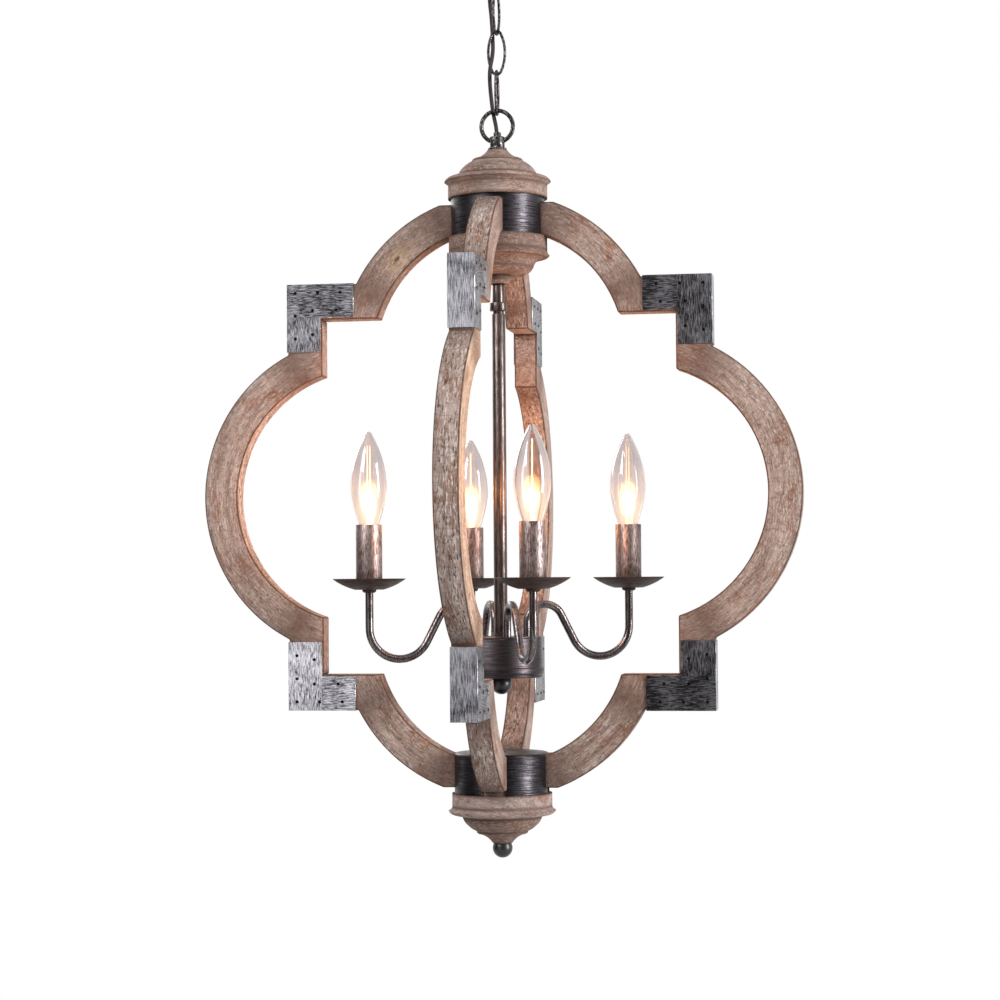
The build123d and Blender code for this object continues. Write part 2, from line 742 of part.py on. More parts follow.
def build_stem_and_hub():
    """Collar, tube, coupling and rod, and the hub at the rod's foot."""
    level = Pos(0, 0, middle_z)
    lid_foot = hub_top_level - lid_thickness
    save("stem_collar", level * tube_between(stem_collar_radius, nipple_radius + thread_clearance,
                                             tube_level, collar_level))
    save("stem_tube", level * tube_between(stem_tube_radius, nipple_radius + slip_clearance,
                                           coupling_level, tube_level))
    save("stem_coupling", level * stem_coupling())
    save("stem_rod", level * tube_between(rod_radius, rod_bore_radius, hub_bottom_level + hub_wall, rod_top_level))
    save("hub_cup", level * hub_cup())
    save("hub_lid", level * hub_lid())
    rod_nut = hex_nut(rod_nut_across_flats, rod_radius + thread_clearance, 0.0, nut_height)
    save("rod_nuts", level * Pos(0, 0, hub_top_level) * rod_nut,
         level * Pos(0, 0, lid_foot - nut_height) * rod_nut)
    save("hub_finial", level * ball_finial(hub_finial_radius, hub_finial_sink, rod_bore_radius - thread_clearance,
                                           hub_finial_stud_length, hub_bottom_level))
    arm_nut = hex_nut(arm_nut_across_flats, arm_radius + thread_clearance, lid_foot - arm_nut_height, arm_nut_height)
    save("arm_nuts", *[level * Rot(0, 0, turn + arm_turn) * Pos(riser_reach, 0, 0) * arm_nut
                       for turn in quarters.values()])


def build_candles():
    """Four arms, each with its pan, collar, sleeve, socket and bulb."""
    headings = {name: Pos(0, 0, middle_z) * Rot(0, 0, turn + arm_turn) for name, turn in quarters.items()}
    seats = [heading * Pos(arm_reach, 0, 0) for heading in headings.values()]
    tube = arm()
    glass = bulb_glass_shell()
    cap, mount = bulb_base()
    for (name, heading), seat in zip(headings.items(), seats):
        save(f"{name}_arm", heading * tube)
        save(f"{name}_bulb_glass", seat * glass)
        save(f"{name}_bulb_base", seat * cap, seat * mount)
    for name, piece in (("drip_pans", drip_pan()), ("pan_collars", pan_collar()),
                        ("candle_sleeves", candle_sleeve()), ("lamp_sockets", lamp_socket())):
        save(name, *[seat * piece for seat in seats])


os.makedirs("parts", exist_ok=True)
build_hanging_gear()
build_ends()
build_stem_and_hub()
build_candles()
build_wings()
print("middle plane", round(middle_z, 2), "chain top", round(chain_top_z, 2), "top ring", round(top_ring_z, 2))
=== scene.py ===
"""Dresses the lantern chandelier: weathered wings, streaked sheet corners, candle lamps, chain and cord."""

import json
import logging
import math
from dataclasses import dataclass, replace
from enum import Enum, IntEnum

import bpy
from mathutils import Matrix, Vector

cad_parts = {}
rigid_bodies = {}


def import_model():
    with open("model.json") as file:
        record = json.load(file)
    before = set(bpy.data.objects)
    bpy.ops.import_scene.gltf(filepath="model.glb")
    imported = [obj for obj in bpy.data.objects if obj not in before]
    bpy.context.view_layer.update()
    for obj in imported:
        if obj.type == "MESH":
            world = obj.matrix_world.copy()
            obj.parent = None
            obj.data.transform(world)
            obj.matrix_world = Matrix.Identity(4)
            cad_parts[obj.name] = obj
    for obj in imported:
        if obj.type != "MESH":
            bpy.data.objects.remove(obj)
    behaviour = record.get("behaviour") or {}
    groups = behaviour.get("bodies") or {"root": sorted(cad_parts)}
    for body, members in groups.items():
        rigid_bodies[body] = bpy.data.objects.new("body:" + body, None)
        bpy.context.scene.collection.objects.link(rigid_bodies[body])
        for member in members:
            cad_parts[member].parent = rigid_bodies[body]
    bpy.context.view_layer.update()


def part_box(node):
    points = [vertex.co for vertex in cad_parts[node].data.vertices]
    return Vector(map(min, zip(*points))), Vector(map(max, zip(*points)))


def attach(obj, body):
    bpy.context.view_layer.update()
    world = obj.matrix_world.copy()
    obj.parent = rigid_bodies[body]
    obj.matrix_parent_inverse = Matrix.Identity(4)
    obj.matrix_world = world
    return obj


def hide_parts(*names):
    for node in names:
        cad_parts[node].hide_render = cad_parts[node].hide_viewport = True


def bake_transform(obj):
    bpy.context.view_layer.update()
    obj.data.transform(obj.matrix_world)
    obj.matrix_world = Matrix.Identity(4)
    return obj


LOG = logging.getLogger("lantern")

MM = 0.001
# Points nearer than this, in metres, are one
MERGE = 1e-6
# Headings of the wings, in degrees about the Z axis
QUARTERS = {"right": 0.0, "back": 90.0, "left": 180.0, "front": 270.0}

# How rough and how warped each noise is, so that no pattern looks regular
NOISE_ROUGHNESS = 0.66
NOISE_WARP = 0.3
# An edge sharper than this, in degrees, is eased, and the shading breaks a little above it
SHARP = 32.0
SHADE_MARGIN = 8.0

Place = tuple[float, float, float]
Flat = tuple[float, float]
Socket = bpy.types.NodeSocket
Tree = bpy.types.NodeTree
Piece = bpy.types.Object


class Streak(Enum):
    """Which way a surface was brushed or rubbed: 1 for each axis along which a streak is long."""

    ROUND = (1.0, 1.0, 0.0)
    ALONG = (1.0, 0.0, 0.0)
    UPRIGHT = (0.0, 0.0, 1.0)


class WoodFace(IntEnum):
    """Material numbers of a wing's wood."""

    FACE = 0
    ARRIS = 1
    TAN = 2


class SheetFace(IntEnum):
    """Material numbers of a sheet corner."""

    LEVEL = 0
    UPRIGHT = 1
    EDGE = 2
    STRIP = 3


def linear(colour: str) -> tuple[float, float, float, float]:
    """Turn an sRGB hex colour into linear light.

    Args:
        colour: Six hex digits after a hash.
    Returns:
        Linear red, green and blue with an alpha of 1.
    """
    shares = [int(colour[i:i + 2], 16) / 255 for i in (1, 3, 5)]
    light = [s / 12.92 if s <= 0.04045 else ((s + 0.055) / 1.055) ** 2.4 for s in shares]
    return (light[0], light[1], light[2], 1.0)


def per_mm(along: float, across: float, depth: float) -> Place:
    """Mapping scale that makes one unit of a pattern this many millimetres long each way."""
    return (1 / (along * MM), 1 / (across * MM), 1 / (depth * MM))


def add_node(tree: Tree, kind: str, inputs: dict | None = None,
             stops: list | None = None, **settings: object) -> bpy.types.Node:
    """Add a node with its settings and links.

    Args:
        tree: Node tree that takes the node.
        kind: Blender's name of the node type.
        inputs: Values or output sockets, by input name or number.
        stops: Positions and colours of a colour ramp.
        settings: Attributes of the node itself.
    Returns:
        The new node.
    """
    node = tree.nodes.new(kind)
    for name, value in settings.items():
        setattr(node, name, value)
    for key, value in (inputs or {}).items():
        if isinstance(value, Socket):
            tree.links.new(value, node.inputs[key])
        else:
            node.inputs[key].default_value = value
    if stops:
        ramp = node.color_ramp
        while len(ramp.elements) < len(stops):
            ramp.elements.new(1.0)
        for element, (position, colour) in zip(ramp.elements, stops):
            element.position = position
            element.color = colour
    return node


def reckon(tree: Tree, operation: str, *values: object) -> Socket:
    """Reckon with values or sockets in a node of its own."""
    return add_node(tree, "ShaderNodeMath", dict(enumerate(values)), operation=operation).outputs[0]


class Finish:
    """A surface finish: a named material that is made once, and the record's slot that it fills."""

    name: str
    slot: str

    def material(self) -> bpy.types.Material:
        """Find the material, or make it on first use.

        Returns:
            The material.
        """
        made = bpy.data.materials.get(self.name)
        if made is None:
            made = bpy.data.materials.new(self.name)
            made.use_nodes = True
            made.node_tree.nodes.clear()
            self.paint(made.node_tree)
        return made

    def paint(self, tree: Tree) -> None:
        """Fill the empty node tree with this finish."""
        raise NotImplementedError

    def coat(self, piece: Piece, *edges: "Finish") -> None:
        """Give a piece this finish, and further ones for the faces that name them by number.

        Args:
            piece: Object to coat.
            edges: Finishes of the material numbers from 1.
        """
        wanted = [finish.material() for finish in (self, *edges)]
        if list(piece.data.materials) != wanted:
            piece.data.materials.clear()
            for material in wanted:
                piece.data.materials.append(material)

    def dress(self, piece: Piece, *edges: "Finish") -> None:
        """Coat a piece."""
        self.coat(piece, *edges)


def finish_tree(tree: Tree, **inputs: object) -> None:
    """Add the main shader and the output.

    Args:
        tree: Node tree that takes the nodes.
        inputs: Values or sockets of the shader, with underscores in names read as spaces.
    """
    named = {key.replace("_", " "): value for key, value in inputs.items()}
    shader = add_node(tree, "ShaderNodeBsdfPrincipled", named)
    add_node(tree, "ShaderNodeOutputMaterial", {"Surface": shader.outputs[0]})


def spread_noises(tree: Tree, place: Socket, sizes: dict[str, Place],
                  detail: float = 5.0) -> dict[str, Socket]:
    """Lay several noises over the same coordinates, each with its own size.

    Args:
        tree: Node tree that takes the nodes.
        place: Coordinates in metres.
        sizes: Length of one unit of each noise along the three axes, in millimetres.
        detail: How fine the noises go.
    Returns:
        The value socket of each noise, by name.
    """
    values = {}
    for key, size in sizes.items():
        spread = add_node(tree, "ShaderNodeMapping", {"Vector": place, "Scale": per_mm(*size)})
        noise = add_node(tree, "ShaderNodeTexNoise", {
            "Vector": spread.outputs[0], "Scale": 1.0, "Detail": detail,
            "Roughness": NOISE_ROUGHNESS, "Distortion": NOISE_WARP})
        values[key] = noise.outputs["Fac"]
    return values


def shares(tree: Tree, ranges: dict[str, tuple[Socket, Flat, Flat]]) -> dict[str, Socket]:
    """Turn values into shares, each from its own range to its own range.

    Args:
        tree: Node tree that takes the nodes.
        ranges: A value, the range read from it and the range given out, by name.
    Returns:
        The socket of each share, by name.
    """
    found = {}
    for key, (value, taken, given) in ranges.items():
        node = add_node(tree, "ShaderNodeMapRange", {
            "Value": value, "From Min": taken[0], "From Max": taken[1],
            "To Min": given[0], "To Max": given[1]})
        found[key] = node.outputs[0]
    return found


def coated(tree: Tree, base: object, coats: list[tuple[object, str]]) -> Socket:
    """Lay coats of colour over a base.

    Args:
        tree: Node tree that takes the nodes.
        base: Colour or socket underneath.
        coats: Share and hex colour of each coat, from the lowest to the highest.
    Returns:
        The colour on top.
    """
    for share, colour in coats:
        coat = add_node(tree, "ShaderNodeMix", {0: share, 6: base, 7: linear(colour)}, data_type="RGBA")
        base = coat.outputs[2]
    return base


@dataclass(frozen=True)
class WeatheredPine(Finish):
    """Rough pine, stained, whitewashed and rubbed back: pinkish grey brown, peppered with pores and wash."""

    name: str = "weathered_pine_sawn"
    slot: str = "weathered_wood"
    heart: str = "#7f665a"
    sap: str = "#b39d92"
    wash: str = "#ddd2cd"
    stain_and_shade: str = "#553a2d"
    pore: str = "#3c241a"
    blond: str = "#b79b76"
    rust: str = "#83583f"
    band_length: float = 60.0
    band_width: float = 6.0
    pore_length: float = 5.0
    pore_width: float = 1.2
    wash_length: float = 6.0
    wash_width: float = 1.3
    hatch_pitch: float = 1.9
    hatch_length: float = 9.0
    patch_length: float = 46.0
    patch_width: float = 17.0
    face_pepper: float = 0.5
    edge_pepper: float = 0.85
    face_hatch: float = 0.34
    edge_hatch: float = 0.36
    edge_start: float = 14.2
    stain_run: float = 30.0
    stain_share: float = 0.85
    crease: float = 7.0
    relief: float = 0.5
    edge_fade: float = 0.4
    knot: Place = (97.8, -3.4, 7010.5)
    knot_radius: float = 11.0
    knot_shape: Place = (0.5, 1.0, 1.0)

    def paint(self, tree: Tree) -> None:
        """Coat growth bands with wash, saw marks, pores, a knot and end stain along the grain, and darken
        creases with painted shade.

        Args:
            tree: Empty node tree of the material.
        """
        grain = add_node(tree, "ShaderNodeAttribute", attribute_name="grain").outputs["Vector"]
        run = add_node(tree, "ShaderNodeAttribute", attribute_name="run_end").outputs["Fac"]
        broad = spread_noises(tree, grain, {
            "band": (self.band_length, self.band_width, self.band_width),
            "patch": (self.patch_length, self.patch_width, self.patch_width),
            "rust": (self.patch_length * 0.6, self.patch_width, self.patch_width),
        })
        fine = spread_noises(tree, grain, {
            "pore": (self.pore_length, self.pore_width, self.pore_width),
            "wash": (self.wash_length, self.wash_width, self.wash_width),
            "hatch": (self.hatch_pitch, self.hatch_length, self.hatch_length),
        }, detail=2.0)
        apart = add_node(tree, "ShaderNodeSeparateXYZ", {"Vector": grain})
        side = reckon(tree, "ABSOLUTE", apart.outputs["Y"])
        # Ambient occlusion darkens creases and hollows towards the stain colour: painted shade.
        hollow = add_node(tree, "ShaderNodeAmbientOcclusion", {"Distance": self.crease * MM}, samples=6)
        # The one knot lies on the left upper arc, whose figure starts at 7 m through the grain
        off = add_node(tree, "ShaderNodeVectorMath", {0: grain, 1: Vector(self.knot) * MM},
                       operation="SUBTRACT")
        oval = add_node(tree, "ShaderNodeMapping", {"Vector": off.outputs[0], "Scale": self.knot_shape})
        away = add_node(tree, "ShaderNodeVectorMath", {0: oval.outputs[0]},
                        operation="LENGTH").outputs["Value"]
        rim = (self.edge_start * MM, (self.edge_start + self.edge_fade) * MM)
        reach = self.knot_radius * MM
        share = shares(tree, {
            "band": (broad["band"], (0.34, 0.64), (0.0, 1.0)),
            "patch": (broad["patch"], (0.36, 0.62), (0.3, 1.0)),
            "rust": (broad["rust"], (0.52, 0.66), (0.0, 0.85)),
            "soak": (broad["band"], (0.36, 0.60), (0.55, 1.0)),
            "pore": (fine["pore"], (0.55, 0.63), (0.0, 1.0)),
            "wash": (fine["wash"], (0.49, 0.60), (0.0, 1.0)),
            "hatch": (fine["hatch"], (0.53, 0.64), (0.0, 1.0)),
            "pepper": (side, rim, (self.face_pepper, self.edge_pepper)),
            "saw": (side, rim, (self.face_hatch, self.edge_hatch)),
            "end": (run, (0.0, self.stain_run * MM), (self.stain_share, 0.0)),
            "crease": (hollow.outputs["AO"], (0.45, 0.97), (0.9, 0.0)),
            "blond": (away, (0.3 * reach, reach), (0.7, 0.0)),
            "knot": (away, (0.1 * reach, 0.2 * reach), (0.85, 0.0)),
        })
        both = {}
        for key, first, second in (("wash", "wash", "patch"), ("salt", "wash", "pepper"),
                                   ("pore", "pore", "pepper"), ("saw", "hatch", "saw"),
                                   ("end", "end", "soak")):
            both[key] = reckon(tree, "MULTIPLY", share[first], share[second])
        pale = reckon(tree, "MULTIPLY", both["wash"], both["salt"])
        colour = coated(tree, linear(self.heart), [
            (share["band"], self.sap), (share["rust"], self.rust), (share["blond"], self.blond),
            (pale, self.wash), (both["saw"], self.stain_and_shade), (both["pore"], self.pore),
            (share["knot"], self.stain_and_shade), (share["crease"], self.stain_and_shade), (both["end"], self.stain_and_shade)])
        height = reckon(tree, "SUBTRACT", share["wash"], both["pore"])
        height = reckon(tree, "SUBTRACT", height, both["saw"])
        bump = add_node(tree, "ShaderNodeBump", {
            "Height": height, "Strength": 0.5, "Distance": self.relief * MM})
        finish_tree(tree, Base_Color=colour, Roughness=0.8, Normal=bump.outputs[0])


@dataclass(frozen=True)
class WorkedMetal(Finish):
    """Dark metal scoured or rubbed along one way: a dark ground with broken bright streaks and soft dents."""

    name: str
    slot: str
    way: Streak
    ground: str
    bright: str
    streak_length: float = 5.0
    streak_width: float = 0.5
    speck: float = 0.8
    cloud: float = 26.0
    cover: float = 0.5
    softness: float = 0.13
    metallic: float = 0.9
    roughness: float = 0.36
    dent: float = 5.0
    dent_depth: float = 0.05
    scratch_depth: float = 0.08
    own_frame: bool = False
    speck_weight: float = 0.3
    cloud_weight: float = 0.4
    painted_light_weight: float = 0.04
    cover_middle: float = 0.85
    cover_swing: float = 0.35
    gloss_swing: float = 0.07

    def paint(self, tree: Tree) -> None:
        """Break streaks with specks, gather them in clouds, scale each face by its stored level, which is
        painted light and shade, and dent the surface.

        Args:
            tree: Empty node tree of the material.
        """
        if self.own_frame:
            place = add_node(tree, "ShaderNodeAttribute", attribute_name="sheet").outputs["Vector"]
        else:
            place = add_node(tree, "ShaderNodeTexCoord").outputs["Object"]
        noise = spread_noises(tree, place, {
            "streak": tuple(self.streak_length if long else self.streak_width for long in self.way.value),
            "speck": (self.speck, self.speck, self.speck),
            "cloud": (self.cloud, self.cloud, self.cloud),
            "dent": (self.dent, self.dent, self.dent),
        }, detail=3.0)
        # The stored level of a face adds bright streaks and scales its colour: painted light and shade of its
        # sheet corner.
        scour_and_light = add_node(tree, "ShaderNodeAttribute", attribute_name="scour_and_light").outputs["Fac"]
        mark = reckon(tree, "MULTIPLY", scour_and_light, self.painted_light_weight)
        for key, weight in (("streak", 1.0), ("speck", self.speck_weight), ("cloud", self.cloud_weight)):
            mark = reckon(tree, "MULTIPLY_ADD", noise[key], weight, mark)
        middle = self.cover_middle + self.cover_swing * (0.5 - self.cover)
        taken = (middle - self.softness, middle + self.softness)
        share = shares(tree, {
            "bare": (mark, taken, (0.0, 1.0)),
            "gloss": (mark, taken, (self.roughness + self.gloss_swing, self.roughness - self.gloss_swing)),
        })
        colour = coated(tree, linear(self.ground), [(share["bare"], self.bright)])
        level = reckon(tree, "ADD", scour_and_light, 1.0)
        colour = add_node(tree, "ShaderNodeHueSaturation", {"Value": level, "Color": colour}).outputs[0]
        scratch = add_node(tree, "ShaderNodeBump", {
            "Height": noise["streak"], "Strength": 0.3, "Distance": self.scratch_depth * MM})
        bump = add_node(tree, "ShaderNodeBump", {
            "Height": noise["dent"], "Strength": 0.8, "Distance": self.dent_depth * MM,
            "Normal": scratch.outputs[0]})
        finish_tree(tree, Base_Color=colour, Metallic=self.metallic, Roughness=share["gloss"],
                    Normal=bump.outputs[0])


@dataclass(frozen=True)
class HammeredIron(Finish):
    """Forged iron, blackened and brushed over: mottled grey-black with bright worn high spots."""

    name: str = "hammered_iron"
    slot: str = "black_iron"
    black: str = "#1e1b1b"
    worn: str = "#857f7e"
    facet: float = 2.8
    mottle: float = 1.7
    depth: float = 0.35

    def paint(self, tree: Tree) -> None:
        """Dent the surface in small facets and wear the high spots.

        Args:
            tree: Empty node tree of the material.
        """
        place = add_node(tree, "ShaderNodeTexCoord").outputs["Object"]
        facets = add_node(tree, "ShaderNodeTexVoronoi", {"Vector": place, "Scale": 1 / (self.facet * MM)},
                          feature="SMOOTH_F1")
        mottle = spread_noises(tree, place, {"mottle": (self.mottle, self.mottle, self.mottle)})
        share = shares(tree, {"high": (mottle["mottle"], (0.48, 0.68), (0.0, 1.0))})
        colour = coated(tree, linear(self.black), [(share["high"], self.worn)])
        bump = add_node(tree, "ShaderNodeBump", {
            "Height": facets.outputs["Distance"], "Strength": 0.8, "Distance": self.depth * MM})
        finish_tree(tree, Base_Color=colour, Metallic=0.85, Roughness=0.36, Normal=bump.outputs[0])


@dataclass(frozen=True)
class PlainCoat(Finish):
    """Plain even coat with a fine mottle: steel, brass, lacquer, plastic or glass rod by its values."""

    name: str
    slot: str
    dull: str
    clean: str
    metallic: float = 1.0
    roughness: float = 0.3
    mottle: float = 2.0
    lacquer: float = 0.0

    def paint(self, tree: Tree) -> None:
        """Mottle two tones and vary the gloss a little.

        Args:
            tree: Empty node tree of the material.
        """
        place = add_node(tree, "ShaderNodeTexCoord").outputs["Object"]
        noise = spread_noises(tree, place, {"mottle": (self.mottle, self.mottle, self.mottle)})
        share = shares(tree, {
            "clean": (noise["mottle"], (0.35, 0.65), (0.0, 1.0)),
            "gloss": (noise["mottle"], (0.35, 0.65), (self.roughness + 0.06, self.roughness - 0.04)),
        })
        colour = coated(tree, linear(self.dull), [(share["clean"], self.clean)])
        finish_tree(tree, Base_Color=colour, Metallic=self.metallic, Roughness=share["gloss"],
                    Coat_Weight=self.lacquer)


@dataclass(frozen=True)
class CordCover(Finish):
    """Cotton-covered lead: matt reddish brown with the fine slant of its braid."""

    name: str = "braided_cotton_lead"
    slot: str = "cord_cover"
    shade: str = "#0e0908"
    thread: str = "#281b19"
    pitch: float = 1.5

    def paint(self, tree: Tree) -> None:
        """Draw the braid as slanting bands, coarser than real thread so that they show.

        Args:
            tree: Empty node tree of the material.
        """
        place = add_node(tree, "ShaderNodeTexCoord").outputs["Object"]
        slant = add_node(tree, "ShaderNodeMapping", {"Vector": place, "Rotation": (0.6, 0.5, 0.0)})
        braid = add_node(tree, "ShaderNodeTexWave", {
            "Vector": slant.outputs[0], "Scale": math.pi / 10 / (self.pitch * MM), "Distortion": 1.0},
            wave_type="BANDS", bands_direction="Z")
        colour = coated(tree, linear(self.shade), [(braid.outputs["Fac"], self.thread)])
        bump = add_node(tree, "ShaderNodeBump", {
            "Height": braid.outputs["Fac"], "Strength": 0.5, "Distance": 0.2 * MM})
        finish_tree(tree, Base_Color=colour, Roughness=0.72, Normal=bump.outputs[0])


@dataclass(frozen=True)
class BulbGlass(Finish):
    """Blown lamp glass: clear with a faint lilac above, tinted warmer around the light below, which is
    painted light of the glow.
    """

    low: float
    high: float
    name: str = "blown_bulb_glass"
    slot: str = "clear_glass"
    # The warm foot's tint is painted light of the glow.
    warm: str = "#fdf0e2"
    middle: str = "#efe4e0"
    clear: str = "#e0d9d8"

    def paint(self, tree: Tree) -> None:
        """Grade the glass from its warm foot, painted light of the glow, to its clear tip.

        Args:
            tree: Empty node tree of the material.
        """
        place = add_node(tree, "ShaderNodeTexCoord").outputs["Object"]
        apart = add_node(tree, "ShaderNodeSeparateXYZ", {"Vector": place})
        rise = shares(tree, {"rise": (apart.outputs["Z"], (self.low, self.high), (0.0, 1.0))})
        tint = add_node(tree, "ShaderNodeValToRGB", {"Fac": rise["rise"]}, stops=[
            (0.0, linear(self.warm)), (0.42, linear(self.middle)), (0.7, linear(self.clear))])
        finish_tree(tree, Base_Color=tint.outputs["Color"], Roughness=0.05, IOR=1.48, Transmission_Weight=1.0)


@dataclass(frozen=True)
class LampWire(Finish):
    """White-hot lamp wire: warm white light that flickers a little along its length."""

    name: str = "lamp_filament"
    slot: str = "clear_glass"
    cool: str = "#ffd9a0"
    hot: str = "#fff4e0"
    strength: float = 4.0

    def paint(self, tree: Tree) -> None:
        """Mottle the light between two heats.

        Args:
            tree: Empty node tree of the material.
        """
        place = add_node(tree, "ShaderNodeTexCoord").outputs["Object"]
        noise = spread_noises(tree, place, {"flicker": (6.0, 6.0, 6.0)}, detail=1.0)
        colour = coated(tree, linear(self.cool), [(noise["flicker"], self.hot)])
        finish_tree(tree, Base_Color=colour, Emission_Color=colour, Emission_Strength=self.strength,
                    Roughness=0.6)


@dataclass(frozen=True)
class HotGlow(Finish):
    """Light that hangs in a lamp around its wire: dense and white in the middle, peach and thin outside."""

    name: str = "lamp_glow"
    slot: str = "clear_glass"
    outer: str = "#ffcf9c"
    inner: str = "#fff3e2"
    strength: float = 700.0
    density: tuple[Flat, ...] = ((0.0, 0.0), (0.3, 0.024), (0.6, 0.13), (1.0, 1.0))

    def paint(self, tree: Tree) -> None:
        """Fill the piece with light that fades from its middle to its skin.

        Args:
            tree: Empty node tree of the material.
        """
        spread = add_node(tree, "ShaderNodeTexCoord").outputs["Generated"]
        centred = add_node(tree, "ShaderNodeMapping", {
            "Vector": spread, "Location": (-1.0, -1.0, -1.0), "Scale": (2.0, 2.0, 2.0)})
        away = add_node(tree, "ShaderNodeVectorMath", {0: centred.outputs[0]}, operation="LENGTH")
        share = shares(tree, {"core": (away.outputs["Value"], (1.0, 0.0), (0.0, 1.0))})
        dense = add_node(tree, "ShaderNodeValToRGB", {"Fac": share["core"]}, stops=[
            (place, (level, level, level, 1.0)) for place, level in self.density])
        power = reckon(tree, "MULTIPLY", dense.outputs["Color"], self.strength)
        colour = coated(tree, linear(self.outer), [(share["core"], self.inner)])
        light = add_node(tree, "ShaderNodeEmission", {"Color": colour, "Strength": power})
        add_node(tree, "ShaderNodeOutputMaterial", {"Volume": light.outputs[0]})


@dataclass(frozen=True)
class StudioPaint(Finish):
    """Plain matt paint of the floor and the dark screens."""

    name: str
    slot: str
    colour: str

    def paint(self, tree: Tree) -> None:
        """Set one even matt colour."""
        finish_tree(tree, Base_Color=linear(self.colour), Roughness=0.9)


# Sawn pine of the wings, rubbed back: greyish pink, peppered with pores and wash. Fibres and pores are drawn
# coarser than real ones, which are too fine to show.
SAWN = WeatheredPine()
# Turned pine of the upper cap: browner, stained in its creases, with the sawn edge set out of reach.
TURNED = WeatheredPine(name="weathered_pine_turned", edge_start=900.0, heart="#6f564b", sap="#9f897e",
                       stain_run=2.4, stain_share=1.0, face_pepper=0.4, face_hatch=0.2)
# The same, paler for the lower cap's rim, and darker for its bowl, where that is painted shade of the
# underside, and for the neck and the collar.
TURNED_PALE = replace(TURNED, name="weathered_pine_turned_pale", heart="#7e655c", sap="#b4a098")
TURNED_WARM_AND_SHADE = replace(TURNED, name="weathered_pine_turned_warm", heart="#5f453a", sap="#887064")
# The tan broad sides of the front lobe, paler than the other wings': painted light, as if more light fell on
# them. The dark line along the rounded edges.
LIT_TAN_SIDE = WeatheredPine(name="weathered_pine_tan_painted_light", heart="#94755f", sap="#cfb29a", wash="#efe1d5")
ARRIS = WeatheredPine(name="weathered_pine_arris", heart="#3f291f", sap="#5f4535", wash="#8a7365")
# Blackened sheet scoured by hand along each limb: pale broken streaks on near black. Real
# scratches are finer than a pixel, so the streaks are drawn wider.
SHEET_LEVEL = WorkedMetal("scoured_sheet_level", "brushed_sheet", Streak.ALONG, "#222023", "#aba9b0",
                          7.0, 0.66, cover=0.37, softness=0.12, own_frame=True)
SHEET_UPRIGHT = replace(SHEET_LEVEL, name="scoured_sheet_upright", way=Streak.UPRIGHT, bright="#b2b0b7",
                        cover=0.38)
SHEET_STRIP = replace(SHEET_UPRIGHT, name="scoured_sheet_strip", ground="#3b393d", bright="#cdcbd3",
                      streak_length=10.0, cover=0.5)
# Blackened sheet brushed round the drum: near black with level lines, drawn wider than real ones to show.
DRUM = WorkedMetal("brushed_drum", "brushed_sheet", Streak.ROUND, "#1b1718", "#4f4c52", 18.0, 0.7, cover=0.34)
# Bronze rubbed along its length: dark brown with long bright streaks and soft dents, brightest on the arms.
TUBE = WorkedMetal("rubbed_bronze_tube", "aged_bronze", Streak.UPRIGHT, "#2a2120", "#888081", 14.0, 1.0,
                   roughness=0.25, dent_depth=0.16, dent=4.5, cover=0.42, softness=0.2)
STEM = replace(TUBE, name="rubbed_bronze_stem", ground="#261c19", bright="#706461", roughness=0.33,
               dent_depth=0.12)
# Paler and duller bronze of the candle sleeves, which shows no sharp highlight.
SLEEVE = WorkedMetal("rubbed_bronze_sleeve", "aged_bronze", Streak.UPRIGHT, "#513f3c", "#a0918e", 5.0, 0.9,
                     roughness=0.47, dent_depth=0.08, dent=4.0)
# Spun bronze of hub and canopy, rubbed round, and of the pans, which is almost matt.
HUB_SHEET = WorkedMetal("rubbed_bronze_hub", "aged_bronze", Streak.ROUND, "#231d1e", "#514b4f", 16.0, 0.6,
                        roughness=0.34, cover=0.42, softness=0.2)
PAN_SHEET = WorkedMetal("dark_bronze_pan", "aged_bronze", Streak.ROUND, "#2a1d19", "#4d3b35", 14.0, 1.2,
                        roughness=0.56, cover=0.4, softness=0.2, metallic=0.6)
# Forged iron of loops and links: grey black with bright worn spots.
IRON = HammeredIron()
# Steel left bare on edges, the burr and black head of a nail, and the lacquered balls.
BARE_EDGE = PlainCoat("bare_steel_edge", "brushed_sheet", "#8a8788", "#d2d0d2", roughness=0.3)
NAIL_RIM = PlainCoat("nail_burr_steel", "brushed_sheet", "#4a4648", "#8d8a8c", roughness=0.26)
NAIL_HEAD = PlainCoat("nail_head_black", "brushed_sheet", "#0d0b0b", "#1d1a1a", roughness=0.4)
BLACK_BALL = PlainCoat("black_lacquered_ball", "black_iron", "#0b0a0a", "#171413", 0.0, 0.36, lacquer=0.1)
# Zinc-plated and blackened steel of strap, tubes and nuts: plain grey and plain brown black.
STEEL = PlainCoat("zinc_steel", "plain_steel", "#4f5154", "#6d6f72", roughness=0.5)
DARK_NUT = PlainCoat("blackened_nut_steel", "plain_steel", "#231c1a", "#4f4540", roughness=0.3)
# Drawn brass, pressed glass and moulded plastic at the bulbs' feet: yellow, milky and dull black.
BRASS = PlainCoat("screw_cap_brass", "screw_brass", "#9b7437", "#cda45a", roughness=0.28)
MOUNT_GLASS = PlainCoat("mount_glass", "clear_glass", "#e9e4dc", "#fbf7f0", 0.0, 0.15)
SOCKET = PlainCoat("moulded_socket", "socket_plastic", "#171514", "#2b2725", 0.0, 0.5, mottle=3.0)
# The lead, the white-hot wire, the warm rods over it, which glow with painted light, and the light that hangs
# in a bulb.
CORD = CordCover()
FILAMENT = LampWire()
# The rods give off light though they are no lamp: painted light of the wire's glow.
SUPPORT_PAINTED_GLOW = LampWire(name="support_rods_painted_glow", cool="#e2cdb0", hot="#ecdcc6", strength=0.45)
GLOW = HotGlow()


def extrude(step: Vector | Place) -> None:
    """Extrude the selection in edit mode by a step in metres."""
    bpy.ops.mesh.extrude_region_move(TRANSFORM_OT_translate={"value": step})


